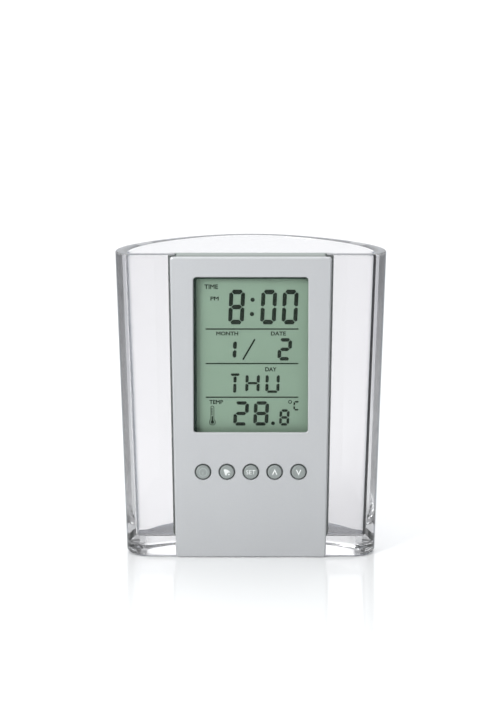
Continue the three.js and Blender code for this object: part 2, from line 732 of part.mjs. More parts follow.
function lcdHolder() {
  const frame = rectangle(-holderHalf, holderHalf, holderBottom, holderTop, 1.0);
  const room = glassHalf + HOLDER_GAP;
  const pocket = rectangle(-room, room, glassBottom - HOLDER_GAP, glassTop + HOLDER_GAP);
  const shell = cut(
    plate(frame, holderFront, boardFront - LAYER_GAP),
    plate(pocket, holderFront + HOLDER_LIP, boardFront + 1),
    plate(windowOutline(POLARISER_MARGIN + 0.4), holderFront - 1, boardFront + 1),
  );
  return piece('lcd_holder', shell, HOLDER_WHITE);
}

function contactStrip() {
  const middle = glassBottom + LEDGE / 2;
  const half = glassHalf - 2.5;
  const [low, high] = [middle - STRIP_HEIGHT / 2, middle + STRIP_HEIGHT / 2];
  const front = frontGlassFront + GLASS_THICK + LAYER_GAP;
  const strip = box(-half, half, front, boardFront - LAYER_GAP, low, high);
  return piece('contact_strip', strip, RUBBER);
}

// Electronics

function circuitBoard() {
  const outline = rectangle(-boardHalf, boardHalf, boardBottom, boardTop, 1.2);
  const hole = (radius) => ([x, z]) => bar(x, z, radius, boardFront - 1, boardBack + 1);
  const drilled = cut(
    plate(outline, boardFront, boardBack),
    ...caseScrewPlaces().slice(2).map(hole(CASE_SCREW.shank + 0.4)),
    ...boardScrewPlaces().map(hole(BOARD_SCREW.shank + SCREW_GAP)),
  );
  return piece('circuit_board', drilled, BOARD_GREEN);
}

function driverChip() {
  const base = boardBack + LAYER_GAP;
  const dome = Array.from({ length: 9 }, (_, k) => {
    const angle = (k / 8) * (Math.PI / 2);
    return [CHIP_RADIUS * Math.cos(angle), base + CHIP_HEIGHT * Math.sin(angle)];
  });
  dome[8][0] = 0;
  return piece('driver_chip', turned(...chipPlace, [[0, base], ...dome]), EPOXY);
}

function clockCrystal() {
  const y = boardBack + LAYER_GAP + CRYSTAL_RADIUS;
  const [x, z] = crystalPlace;
  const can = new THREE.CylinderGeometry(CRYSTAL_RADIUS, CRYSTAL_RADIUS, CRYSTAL_LENGTH, 24);
  can.rotateZ(Math.PI / 2).translate(x, y, z);
  const end = x - CRYSTAL_LENGTH / 2;
  const leads = [-0.35, 0.35].map((dz) => {
    const down = boardBack + LAYER_GAP + LEAD_RADIUS;
    return swept([[end + 0.4, y, z + dz], [end - 0.8, y, z + dz], [end - 1.8, down, z + dz]], LEAD_RADIUS, 6);
  });
  return piece('clock_crystal', join(can, ...leads), STEEL);
}

function temperatureSensor() {
  const y = boardBack + LAYER_GAP + SENSOR_RADIUS;
  const [x, z] = sensorPlace;
  const bead = new THREE.SphereGeometry(SENSOR_RADIUS, 20, 14).translate(x, y, z);
  const leads = [-0.4, 0.4].map((dx) => {
    const down = boardBack + LAYER_GAP + LEAD_RADIUS;
    return swept([[x + dx, y, z + 0.4], [x + dx, y, z + 1.6], [x + dx * 2, down, z + 3.2]], LEAD_RADIUS, 6);
  });
  return piece('temperature_sensor', join(bead, ...leads), EPOXY);
}

function buzzerDisc() {
  const middle = discFront + BUZZER_PLATE;
  const disc = join(
    bar(0, buzzerZ, BUZZER_RADIUS, middle, middle + BUZZER_PLATE, undefined, 36),
    bar(0, buzzerZ, BUZZER_CERAMIC_RADIUS, discFront, middle + 0.1, undefined, 36),
  );
  return piece('buzzer_disc', disc, BRASS);
}

function wires() {
  const onDisc = discFront - WIRE_GAP - WIRE_RADIUS;
  const leadEnd = wellTop + WELL_WALL + 1.6;
  const fromLead = (x) => [
    [x, contactFront + CONTACT_THICK + WIRE_RADIUS + 0.05, leadEnd - 1.4],
    [x, contactFront + CONTACT_THICK + WIRE_RADIUS + 0.1, leadEnd + 0.2],
    [x * (1 + WIRE_SPLAY) / 2, wireLine, boardBottom - 1.2],
    [x * WIRE_SPLAY, wireLine, boardBottom + 1.8],
    [x * WIRE_SPLAY, wireLine, boardBottom + 4.2],
  ];
  const toBuzzer = (side) => [
    [side * 1.5, onDisc, buzzerZ + 2.5],
    [side * 2.2, onDisc - 0.05, buzzerZ + 6],
    [side * 3.0, wireLine, buzzerZ + 10],
    [side * 3.2, wireLine, buzzerZ + 13],
  ];
  return [
    piece('battery_wire_negative', swept(fromLead(-leadX), WIRE_RADIUS), WIRE_BLACK),
    piece('battery_wire_positive', swept(fromLead(clipEnd - LEAD_HALF), WIRE_RADIUS), WIRE_RED),
    piece('buzzer_wire_left', swept(toBuzzer(-1), WIRE_RADIUS), WIRE_BLACK),
    piece('buzzer_wire_right', swept(toBuzzer(1), WIRE_RADIUS), WIRE_RED),
  ];
}

// Keys

function key(name, i) {
  const profile = [
    [0, keyBack],
    [keyFlangeRadius, keyBack],
    [keyFlangeRadius, keyFlangeFront],
    [keyRadius, keyFlangeFront],
    [keyRadius, KEY_EDGE - KEY_PROUD],
    [keyRadius - KEY_EDGE * 0.3, KEY_EDGE * 0.3 - KEY_PROUD],
    [keyRadius - KEY_EDGE, -KEY_PROUD],
    [0, -KEY_PROUD],
  ];
  return piece(`key_${name}`, turned(keyX(i), keyRow, profile), KEY_GREY);
}

function keyPill(name, i) {
  const front = keyBack + LAYER_GAP;
  return piece(`key_pill_${name}`, bar(keyX(i), keyRow, PILL_RADIUS, front, front + PILL_DEPTH), RUBBER);
}

function keyMat() {
  const back = boardFront - 0.1;
  const front = back - MAT_THICK;
  const holeRadius = PILL_RADIUS + MAT_HOLE_GAP;
  const outline = rectangle(-matHalf, matHalf, keyRow - MAT_HALF_HEIGHT, keyRow + MAT_HALF_HEIGHT, 1.5);
  const collars = KEY_NAMES.map((_, i) => bar(keyX(i), keyRow, holeRadius + 0.8, front - MAT_COLLAR, back));
  const holes = KEY_NAMES.map((_, i) => bar(keyX(i), keyRow, holeRadius, front - 1, back + 1));
  const room = BOARD_SCREW.boss + 0.3;
  const notches = boardScrewPlaces().map(([x, z]) => bar(x, z, room, front - 1, back + 1));
  const sheet = join(plate(outline, front, back), ...collars);
  return piece('key_mat', cut(sheet, ...holes, ...notches), RUBBER);
}

// Power

function buttonCell(name, x) {
  const back = cellFront + CELL_THICK;
  const profile = [
    [0, back],
    [CELL_RADIUS - 0.3, back],
    [CELL_RADIUS, back - 0.3],
    [CELL_RADIUS, cellFront + 0.6],
    [CELL_RADIUS - 0.5, cellFront + 0.3],
    [CELL_RADIUS - 0.8, cellFront],
    [0, cellFront],
  ];
  return piece(name, turned(x, cellRow, profile, 40), STEEL);
}

function batteryContacts() {
  const [front, back] = [contactFront, contactFront + CONTACT_THICK];
  const leadTop = wellTop + WELL_WALL + 1.6;
  const tabTop = cellFront + CELL_THICK - 1;
  const negative = join(
    box(-leadX - LEAD_HALF, -cellX + 2.6, front, back, cellRow - 2.2, cellRow + 2.2),
    box(-leadX - LEAD_HALF, -leadX + LEAD_HALF, front, back, cellRow, leadTop),
  );
  const linkEnd = contactReach - cellX;
  const link = join(
    box(linkEnd - CONTACT_THICK, linkEnd, front, tabTop, cellRow - 2, cellRow + 2),
    box(linkEnd - CONTACT_THICK, cellX + 2.6, front, back, cellRow - 2, cellRow + 2),
  );
  const positive = join(
    box(clipEnd - CONTACT_THICK, clipEnd, front, tabTop, cellRow - 2, cellRow + 2),
    box(clipEnd - 2 * LEAD_HALF, clipEnd, front, back, cellRow + 1.0, leadTop),
  );
  return [
    piece('battery_contact_negative', negative, STEEL),
    piece('battery_link', link, STEEL),
    piece('battery_contact_positive', positive, STEEL),
  ];
}

// Screws, with a cross recess in a low round head

function screw(name, [x, z], size, headFront, tip) {
  const top = headFront + size.headDepth;
  const profile = [
    [0, top],
    [size.head * 0.6, top],
    [size.head * 0.9, top - size.headDepth * 0.3],
    [size.head, headFront],
    [size.shank, headFront],
    [size.shank, tip + size.shank],
    [size.shank * 0.4, tip],
    [0, tip],
  ];
  const arm = size.head * 0.55;
  const slit = size.head * 0.12;
  const depth = size.headDepth * 0.5;
  const recess = [
    box(x - arm, x + arm, top - depth, top + 1, z - slit, z + slit),
    box(x - slit, x + slit, top - depth, top + 1, z - arm, z + arm),
  ];
  return piece(name, cut(turned(x, z, profile, 18), ...recess), STEEL);
}

function screws() {
  const tip = CASE_WALL + 0.7;
  const caseHead = CASE_DEPTH - CASE_SCREW.headDepth - 0.1;
  const boardHead = boardBack + LAYER_GAP;
  return [
    ...caseScrewPlaces().map((at, i) => screw(`case_screw_${i + 1}`, at, CASE_SCREW, caseHead, tip)),
    ...boardScrewPlaces().map((at, i) => screw(`board_screw_${i + 1}`, at, BOARD_SCREW, boardHead, tip)),
  ];
}

function clockModule() {
  return group(
    'clock',
    group('case', frontBezel(), rearShell(), windowLens(), batteryDoor(), screws()),
    group('display', displayStack(), lcdHolder(), contactStrip()),
    group('electronics', circuitBoard(), driverChip(), clockCrystal(), temperatureSensor()),
    group('sounder', buzzerDisc(), wires()),
    group('keys', KEY_NAMES.map(key), KEY_NAMES.map(keyPill), keyMat()),
    group(
      'power',
      buttonCell('button_cell_left', -cellX),
      buttonCell('button_cell_right', cellX),
      batteryContacts(),
    ),
  );
}

const penHolderClock = group('pen_holder_clock', holderCup(), clockModule());
penHolderClock.position.y = (KEY_PROUD - cupBack(rimTop)) / 2;

export default penHolderClock;
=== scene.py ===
"""Looks of a clear pen holder with a desk clock in its front wall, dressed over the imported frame."""

from __future__ import annotations

import logging
import math
from collections.abc import Callable, Sequence
from dataclasses import dataclass
from enum import Enum
from functools import partial

import bmesh
import bpy
from mathutils import Matrix, Vector


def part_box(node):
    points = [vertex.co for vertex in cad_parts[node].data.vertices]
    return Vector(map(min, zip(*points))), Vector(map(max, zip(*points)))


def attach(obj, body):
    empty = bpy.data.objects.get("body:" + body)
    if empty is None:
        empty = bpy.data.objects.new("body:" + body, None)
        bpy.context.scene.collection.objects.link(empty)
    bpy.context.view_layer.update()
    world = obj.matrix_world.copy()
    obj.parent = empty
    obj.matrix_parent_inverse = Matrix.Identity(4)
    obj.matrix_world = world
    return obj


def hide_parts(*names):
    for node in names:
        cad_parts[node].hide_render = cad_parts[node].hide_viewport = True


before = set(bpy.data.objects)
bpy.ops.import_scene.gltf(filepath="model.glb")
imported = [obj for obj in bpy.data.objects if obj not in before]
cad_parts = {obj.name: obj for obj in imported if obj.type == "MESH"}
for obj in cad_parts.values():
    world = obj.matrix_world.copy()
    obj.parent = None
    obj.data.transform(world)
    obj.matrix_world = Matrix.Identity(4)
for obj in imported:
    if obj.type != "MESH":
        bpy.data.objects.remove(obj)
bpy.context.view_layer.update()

LOG = logging.getLogger("pen_holder_clock")
MM = 0.001
FRONT = -18.85  # the clock's front face in the frame, mm; the cup's depths are measured from it
PAINTED_CORNER_SHADE = "witness"  # point attribute: how much painted shade darkens the cup's inside front corners
NOISE = (0.3, 0.7)  # values that a noise mostly keeps to
SHARP = 30.0  # edges that bend by more degrees than this stay sharp
WELD = 1e-7  # points closer than this, m, become one

Point = tuple[float, float]  # x and z as a rule, or any other pair
Place = tuple[float, float, float]
Box = tuple[float, float, float, float]  # left, right, bottom and top
Outline = list[Point]
Ring = list[Vector]
Form = bmesh.types.BMesh
Node = bpy.types.Node
Socket = bpy.types.NodeSocket
Adder = Callable[..., Node]


def linear(code: str) -> tuple[float, float, float, float]:
    """Turns an sRGB colour into the linear one that shaders take.

    Args:
        code: The colour as # and six hex digits.

    Returns:
        Red, green, blue and an alpha of one.
    """
    values = [int(code[i : i + 2], 16) / 255 for i in (1, 3, 5)]
    red, green, blue = (v / 12.92 if v <= 0.04045 else ((v + 0.055) / 1.055) ** 2.4 for v in values)
    return red, green, blue, 1.0


def grain(size_mm: float) -> float:
    """Texture scale, on coordinates in metres, of a pattern with this spacing in millimetres."""
    return 1.0 / (size_mm * MM)


def add_node(
    tree: bpy.types.NodeTree,
    kind: str,
    inputs: dict[str | int, object] | Sequence[object] = (),
    **settings: object,
) -> Node:
    """Adds a node to a tree with its settings, values and links.

    Args:
        tree: The tree that takes the node.
        kind: Blender's type name of the node.
        inputs: What the first inputs take in order, or input names or numbers with what each takes: a
            value, an output, a node whose first output feeds it, or a list of these.
        **settings: Properties of the node itself.

    Returns:
        The new node.
    """
    node = tree.nodes.new(kind)
    for name, value in settings.items():
        setattr(node, name, value)
    for key, value in inputs.items() if isinstance(inputs, dict) else enumerate(inputs):
        for source in value if isinstance(value, list) else [value]:
            if isinstance(source, Node):
                source = source.outputs[0]
            if isinstance(source, Socket):
                tree.links.new(source, node.inputs[key])
            else:
                node.inputs[key].default_value = source
    return node


# Finishes


@dataclass(frozen=True)
class Finish:
    """What all the finishes share: one node material each, made once and named for the real one."""

    title: str

    def material(self) -> bpy.types.Material:
        """Gives the finish's material, and makes it the first time.

        Returns:
            The node material.
        """
        found = bpy.data.materials.get(self.title)
        if found and found.get("made_here"):
            return found
        if found:
            found.name = f"{self.title}_cad"
        made = bpy.data.materials.new(self.title)
        made["made_here"] = True
        made.use_nodes = True
        made.node_tree.nodes.clear()
        add = partial(add_node, made.node_tree)
        place = add("ShaderNodeTexCoord").outputs["Object"]
        ends = {"Surface": self.surface(add, place), "Volume": self.volume(add)}
        add("ShaderNodeOutputMaterial", {name: end for name, end in ends.items() if end})
        return made

    def surface(self, add: Adder, place: Socket) -> Node:
        """The shader that covers the piece, given what adds a node and Object coordinates in metres."""
        return add("ShaderNodeBsdfPrincipled", self.look(add, place))

    def volume(self, add: Adder) -> Node | None:
        """What fills the piece, or None where nothing of it shows."""
        return None

    def look(self, add: Adder, place: Socket) -> dict[str, object]:
        """Builds the finish's own nodes.

        Args:
            add: Adds a node to the material's tree.
            place: Object coordinates in metres.

        Returns:
            What the shader's inputs take.
        """
        raise NotImplementedError

    def dress(self, *things: bpy.types.Object) -> None:
        """Puts the finish on every slot of each object.

        Args:
            *things: The objects.
        """
        for thing in things:
            thing.data.materials.clear()
            thing.data.materials.append(self.material())

    def dress_nodes(self, *names: str) -> None:
        """Puts the finish on nodes that keep their CAD shapes."""
        self.dress(*(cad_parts[name] for name in names))
        LOG.info("%s: %s", self.title, ", ".join(names))


@dataclass(frozen=True)
class ClearPlastic(Finish):
    """Injection-moulded clear polystyrene: a flowing, faintly wavy gloss, with painted shade where it turns
    edge on and down its inside corners.
    """

    title: str = "clear_moulded_polystyrene"
    body: str = "#F3F2F3"
    # painted shade: the body is tinted toward this grey-blue where the surface turns edge-on to the view,
    # standing in for the dark edges that refraction of the surroundings gives
    edge: str = "#4C5866"
    steep: Point = (0.55, 0.72)  # turn, of 1, at which the painted edge shade starts and is full
    depth: str = "#8E9296"  # what is left of the light after a long way through
    density: float = 4.5  # per metre
    witness: str = "#26292C"  # painted shade: a dark line down the upright corners of the inside, where the clear walls show dark
    ior: float = 1.5
    wave_mm: float = 26.0
    wave_deep_mm: float = 0.6
    wave_strength: float = 0.05
    polish: Point = (0.0, 0.02)  # roughness at both ends of a wave

    def volume(self, add: Adder) -> Node:
        """A grey cast that grows with the way that light takes through the plastic."""
        return add("ShaderNodeVolumeAbsorption", (linear(self.depth), self.density))

    def look(self, add: Adder, place: Socket) -> dict[str, object]:
        """Glass-clear plastic with painted shade where the surface turns edge-on to the view and down the
        inside corners.

        Args:
            add: Adds a node to the material's tree.
            place: Object coordinates in metres.

        Returns:
            What the shader's inputs take.
        """
        # painted shade: the tone goes toward the edge colour as the surface turns edge-on to the view
        turn = add("ShaderNodeLayerWeight", {"Blend": 0.5}).outputs["Facing"]
        steep = add("ShaderNodeMapRange", (turn, *self.steep), interpolation_type="SMOOTHSTEP")
        tones = {0: steep, 6: linear(self.body), 7: linear(self.edge)}
        colour = add("ShaderNodeMix", tones, data_type="RGBA").outputs[2]
        flow = add("ShaderNodeTexNoise", {"Vector": place, "Scale": grain(self.wave_mm), "Detail": 1.0})
        deep = self.wave_deep_mm * MM
        wavy = add("ShaderNodeBump", {"Height": flow, "Strength": self.wave_strength, "Distance": deep})
        # painted shade down the inside corners: the tone goes toward the dark corner colour and the plastic
        # turns less clear there
        line = add("ShaderNodeAttribute", attribute_name=PAINTED_CORNER_SHADE).outputs["Fac"]
        marked = add("ShaderNodeMix", {0: line, 6: colour, 7: linear(self.witness)}, data_type="RGBA")
        return {
            "Base Color": marked.outputs[2],
            "Roughness": add("ShaderNodeMapRange", (flow, *NOISE, *self.polish)),
            "IOR": self.ior,
            "Transmission Weight": add("ShaderNodeMath", (1.0, line), operation="SUBTRACT"),
            "Normal": wavy,
        }


@dataclass(frozen=True)
class SheetFilm(Finish):
    """Flat clear sheet, film or glass that passes light straight, with a gloss that grows at a slant."""

    tint: str = "#FFFFFF"
    mirror: float = 0.02
    haze: float = 0.06
    haze_span: Point = (0.6, 1.4)  # least and greatest share of the haze
    slant: float = 5.0  # how late the gloss comes as the sheet turns away
    slant_gloss: float = 0.5
    dust_mm: float = 3.0

    def surface(self, add: Adder, place: Socket) -> Node:
        """Tinted see-through sheet under a thin gloss.

        Args:
            add: Adds a node to the material's tree.
            place: Object coordinates in metres.

        Returns:
            The shader.
        """
        turn = add("ShaderNodeLayerWeight", {"Blend": 0.5}).outputs["Facing"]
        steep = add("ShaderNodeMath", (turn, self.slant), operation="POWER")
        gloss = add("ShaderNodeMath", (steep, self.slant_gloss, self.mirror), operation="MULTIPLY_ADD")
        dust = add("ShaderNodeTexNoise", {"Vector": place, "Scale": grain(self.dust_mm)})
        haze = [self.haze * share for share in self.haze_span]
        rough = add("ShaderNodeMapRange", (dust, 0.0, 1.0, *haze))
        through = add("ShaderNodeBsdfTransparent", (linear(self.tint),))
        shine = add("ShaderNodeBsdfGlossy", {"Roughness": rough})
        return add("ShaderNodeMixShader", (gloss, through, shine))


@dataclass(frozen=True)
class Coated(Finish):
    """Solid surface with a fine grain: paint, moulded plastic, rubber, ink or cast resin."""

    colour: str = "#808080"
    second: str = "#7A7A7A"  # colour of the grain's other half
    grain_mm: float = 0.4
    blotch_mm: float = 9.0  # slow change of tone across the piece
    rough: float = 0.45
    rough_spread: float = 0.06
    metal: float = 0.0
    ior: float = 1.5
    relief_mm: float = 0.01
    relief_strength: float = 0.35
    bare: str = ""  # colour of the sides and the back, where only the face is sprayed
    sprayed: Point = (0.5, 0.8)  # depth behind the face over which the spray ends, mm
    blotch: float = 0.35  # weight of the slow change beside the grain
    both: Point = (0.35, 1.0)  # values that the two together keep to

    def look(self, add: Adder, place: Socket) -> dict[str, object]:
        """Two close tones in a fine grain over a slow blotch, with matching roughness and relief.

        Args:
            add: Adds a node to the material's tree.
            place: Object coordinates in metres.

        Returns:
            What the shader's inputs take.
        """
        scale, wide = grain(self.grain_mm), grain(self.blotch_mm)
        fine = add("ShaderNodeTexNoise", {"Vector": place, "Scale": scale, "Detail": 2.0, "Roughness": 0.6})
        slow = add("ShaderNodeTexNoise", {"Vector": place, "Scale": wide, "Detail": 1.0})
        share = add("ShaderNodeMath", (slow, self.blotch, fine), operation="MULTIPLY_ADD")
        mix = add("ShaderNodeMapRange", (share, *self.both))
        tones = {0: mix, 6: linear(self.colour), 7: linear(self.second)}
        colour = add("ShaderNodeMix", tones, data_type="RGBA").outputs[2]
        metal: object = self.metal
        if self.bare:
            depth = add("ShaderNodeSeparateXYZ", (place,)).outputs[1]
            behind = add("ShaderNodeMapRange", (depth, *((FRONT + reach) * MM for reach in self.sprayed)))
            tones = {0: behind, 6: colour, 7: linear(self.bare)}
            colour = add("ShaderNodeMix", tones, data_type="RGBA").outputs[2]
            metal = add("ShaderNodeMapRange", (behind, 0.0, 1.0, self.metal, 0.0))
        dull = (max(0.02, self.rough - self.rough_spread), self.rough + self.rough_spread)
        relief = {"Height": fine, "Strength": self.relief_strength, "Distance": self.relief_mm * MM}
        return {
            "Base Color": colour,
            "Metallic": metal,
            "Roughness": add("ShaderNodeMapRange", (fine, *NOISE, *dull)),
            "IOR": self.ior,
            "Normal": add("ShaderNodeBump", relief),
        }


@dataclass(frozen=True)
class BrushedMetal(Finish):
    """Sheet metal with drawn or brushed lines along one axis: bright streaks that follow the working."""

    colour: str = "#C7C9CB"
    second: str = "#A9ACAF"
    line_mm: float = 0.25
    stretch: Place = (0.08, 1.0, 1.0)
    rough: float = 0.28
    rough_span: Point = (-0.08, 0.1)  # added to the roughness at both ends of a streak
    relief_mm: float = 0.01
    relief_strength: float = 0.2

    def look(self, add: Adder, place: Socket) -> dict[str, object]:
        """Metal with fine stretched streaks in its colour, roughness and relief.

        Args:
            add: Adds a node to the material's tree.
            place: Object coordinates in metres.

        Returns:
            What the shader's inputs take.
        """
        drawn = add("ShaderNodeMapping", {"Vector": place, "Scale": self.stretch})
        lines = add("ShaderNodeTexNoise", {"Vector": drawn, "Scale": grain(self.line_mm), "Detail": 3.0})
        tones = {0: lines, 6: linear(self.colour), 7: linear(self.second)}
        dull = [self.rough + more for more in self.rough_span]
        relief = {"Height": lines, "Strength": self.relief_strength, "Distance": self.relief_mm * MM}
        return {
            "Base Color": add("ShaderNodeMix", tones, data_type="RGBA").outputs[2],
            "Metallic": 1.0,
            "Roughness": add("ShaderNodeMapRange", (lines, *NOISE, *dull)),
            "Normal": add("ShaderNodeBump", relief),
        }


@dataclass(frozen=True)
class BoardLaminate(Finish):
    """Glass-epoxy circuit board under green solder mask: paler lines where copper tracks run beneath."""

    title: str = "glass_epoxy_board"
    mask: str = "#1F5B3C"
    thin_mask: str = "#236443"  # over every other square of the glass cloth
    track: str = "#3C8158"
    track_mm: float = 2.4
    track_share: float = 0.09  # half width of a track, of the spacing
    stray: float = 0.7  # of the tracks from an even grid
    weave_mm: float = 0.5
    rough: float = 0.35
    relief_mm: float = 0.03
    relief_strength: float = 0.4

    def look(self, add: Adder, place: Socket) -> dict[str, object]:
        """Green mask with straight-sided track cells and the faint weave of the glass cloth.

        Args:
            add: Adds a node to the material's tree.
            place: Object coordinates in metres.

        Returns:
            What the shader's inputs take.
        """
        spacing = {"Vector": place, "Scale": grain(self.track_mm), "Randomness": self.stray}
        cells = add("ShaderNodeTexVoronoi", spacing, feature="DISTANCE_TO_EDGE", distance="EUCLIDEAN")
        line = add("ShaderNodeMath", (cells, self.track_share), operation="LESS_THAN")
        cloth = (place, linear(self.mask), linear(self.thin_mask), grain(self.weave_mm))
        tones = {0: line, 6: add("ShaderNodeTexChecker", cloth), 7: linear(self.track)}
        relief = {"Height": line, "Strength": self.relief_strength, "Distance": self.relief_mm * MM}
        return {
            "Base Color": add("ShaderNodeMix", tones, data_type="RGBA").outputs[2],
            "Roughness": self.rough,
            "Normal": add("ShaderNodeBump", relief),
        }


@dataclass(frozen=True)
class AcrylicFloor(Finish):
    """White acrylic sheet of the studio with a painted pool of light: lightest under and behind the object, a
    shade greyer to both sides.
    """

    title: str = "white_acrylic_floor"
    middle: str = "#F4F5F5"
    sides: str = "#DCDDE0"
    runway: Point = (0.1, 0.2)  # half width of the painted pool of light, and where its soft edge ends, m
    spread: float = 0.1  # added to both far behind the object
    far: float = 1.3  # how far that is
    rough: float = 0.1

    def look(self, add: Adder, place: Socket) -> dict[str, object]:
        """Glossy white with the painted pool of light: a soft change of tone across.

        Args:
            add: Adds a node to the material's tree.
            place: Object coordinates in metres.

        Returns:
            What the shader's inputs take.
        """
        parts = add("ShaderNodeSeparateXYZ", (place,)).outputs
        across = add("ShaderNodeMath", (parts[0],), operation="ABSOLUTE")
        width = add("ShaderNodeMapRange", (parts[1], 0.0, self.far, 0.0, self.spread))
        beside = add("ShaderNodeMath", (across, width), operation="SUBTRACT")
        share = add("ShaderNodeMapRange", (beside, *self.runway), interpolation_type="SMOOTHSTEP")
        tones = {0: share, 6: linear(self.middle), 7: linear(self.sides)}
        tone = add("ShaderNodeMix", tones, data_type="RGBA").outputs[2]
        return {"Base Color": tone, "Roughness": self.rough}


@dataclass(frozen=True)
class Workshop:
    """Every finish on the object, each under the place where it is used."""

    # Clear polystyrene from a polished mould: bright body, painted shade at edges turned to the view and in
    # the inside corners
    cup: Finish = ClearPlastic()
    # Clear acrylic sheet of the window: all but unseen from the front, glossy at a slant
    window: Finish = SheetFilm("clear_acrylic_sheet", "#FDFEFD", 0.006, 0.05)
    # Stretched polariser film: a faint grey-green cast
    polariser: Finish = SheetFilm("polariser_film", "#FAFCFA", 0.0, 0.1)
    # Float glass of the cell: a faint green in its depth
    glass: Finish = SheetFilm("display_float_glass", "#FCFEFC", 0.0, 0.05)
    # Reflector foil: the matt grey-green ground that the figures stand against
    reflector: Finish = Coated("reflector_foil", "#B3BAB9", "#ADB5B3", 0.5, 14.0, 0.6, 0.05, relief_mm=0.004)
    # Liquid crystal figures when switched on: green-black with a soft edge tone
    figures: Finish = Coated("display_figures", "#030D0B", "#06120F", 0.4, 3.0, 0.5, 0.05)
    # Painted shadow: a green-black band behind the window that shows only along its left and top, where the
    # bezel's shade falls
    border: Finish = Coated("painted_shadow_border", "#0B3022", "#0E3627", 0.4, 5.0, 0.5, 0.05)
    # Silver lacquer sprayed on the face of moulded ABS: an even satin. Round the sides and back a dark
    # grey-green: bare ABS, darker than the case as painted shade for the top edge and the gaps beside the
    # face
    silver: Finish = Coated(
        "silver_lacquer_on_abs", "#CBCDCF", "#C3C5C7", 0.3, 24.0, 0.42, 0.05, 0.25,
        relief_mm=0.006, bare="#6C746F",
    )
    # Grey-green ABS with spark-eroded mould grain: a dry, even matt
    case: Finish = Coated(
        "grained_grey_abs", "#8E9692", "#858D89", 0.5, 12.0, 0.55, 0.08, ior=1.54, relief_mm=0.03
    )
    # Smoother ABS of the keys, a little greener, polished by fingers
    keys: Finish = Coated("satin_key_abs", "#99A09E", "#909795", 0.35, 4.0, 0.38, 0.06, ior=1.54)
    # Pad-printed white ink on the keys
    print_white: Finish = Coated("pad_printed_white", "#F4F6F5", "#E6EAE8", 0.2, 1.5, 0.5, 0.05)
    # The same ink, thin and half worn, on the mode key
    print_worn: Finish = Coated("pad_printed_worn", "#B9C1BE", "#A7B0AC", 0.3, 0.9, 0.5, 0.05)
    # Moulded white ABS frame behind the window
    white: Finish = Coated("white_abs", "#E4E4DE", "#DADAD3", 0.6, 10.0, 0.5, 0.06, ior=1.54, relief_mm=0.02)
    # Silicone contact strip: pink-grey sides between its carbon layers
    strip: Finish = Coated("contact_silicone", "#B9A79E", "#AE9C93", 0.4, 5.0, 0.6, 0.05, ior=1.41)
    # Carbon-filled silicone: dead black, dry
    carbon: Finish = Coated(
        "carbon_silicone", "#232425", "#2C2D2E", 0.3, 2.0, 0.8, 0.08, ior=1.41, relief_mm=0.02
    )
    # Silicone rubber mat behind the keys: a dull mid grey
    mat: Finish = Coated("silicone_mat", "#5E6668", "#555D5F", 0.5, 6.0, 0.7, 0.08, ior=1.41, relief_mm=0.02)
    # Glass-epoxy board: green mask over paler tracks
    board: Finish = BoardLaminate()
    # Gold flash on copper pads: warm and bright, with fine upright lines
    gold: Finish = BrushedMetal("gold_flash", "#D9B25A", "#C79C45", 0.2, (1.0, 1.0, 0.15), 0.3)
    # Cast epoxy over the chip and the sensor: glossy black drop
    epoxy: Finish = Coated(
        "cast_black_epoxy", "#15171A", "#1C1E21", 0.6, 3.0, 0.22, 0.08, ior=1.56, relief_mm=0.03
    )
    # Tin-plated spring steel of the contacts: pale grey with fine upright lines
    tin: Finish = BrushedMetal("tin_plated_steel", "#C2C3C1", "#A4A6A5", 0.2, (1.0, 1.0, 0.1), 0.3)
    # Drawn stainless can of the cells: bright grey with fine level lines
    can: Finish = BrushedMetal("drawn_cell_steel", "#D0D2D3", "#B4B7B9", 0.25, (0.15, 1.0, 1.0), 0.22)
    # Zinc-plated screws: blue-grey with faint lines along the screw
    zinc: Finish = BrushedMetal("zinc_plated_steel", "#B9BDC0", "#94999D", 0.15, (1.0, 0.4, 1.0), 0.32)
    # Rolled brass disc of the sounder: yellow with long level rolling lines
    brass: Finish = BrushedMetal("rolled_brass", "#D0AC62", "#B98F45", 0.3, (0.1, 1.0, 1.0), 0.3)
    # Soft vinyl insulation of the wires: a low, even gloss
    black_vinyl: Finish = Coated("black_vinyl", "#1B1B1C", "#252526", 0.3, 3.0, 0.4, 0.06, ior=1.53)
    red_vinyl: Finish = Coated("red_vinyl", "#A31F1C", "#B22B26", 0.3, 3.0, 0.4, 0.06, ior=1.53)


SHOP = Workshop()


# Mesh tools


class Ends(Enum):
    """How a skin over rings of points ends."""

    CAPPED = "a face closes the first ring and another the last"
    LAST_CAPPED = "a face closes the last ring alone"
    JOINED = "the last ring runs on into the first"


def new_object(name: str, mesh: bpy.types.Mesh) -> bpy.types.Object:
    """Links a new object that holds a mesh.

    Args:
        name: The object's name.
        mesh: Its mesh.

    Returns:
        The object.
    """
    made = bpy.data.objects.new(name, mesh)
    bpy.context.scene.collection.objects.link(made)
    return made


def to_mesh(name: str, form: Form, sharp: float = SHARP) -> bpy.types.Mesh:
    """Turns a bmesh into a smooth-shaded mesh whose faces point out.

    Args:
        name: Name of the mesh.
        form: The bmesh, which is freed.
        sharp: Edges that bend by more degrees than this stay sharp.

    Returns:
        The mesh.
    """
    bmesh.ops.recalc_face_normals(form, faces=form.faces)
    mesh = bpy.data.meshes.new(name)
    form.to_mesh(mesh)
    form.free()
    mesh.shade_smooth()
    mesh.set_sharp_from_angle(angle=math.radians(sharp))
    return mesh


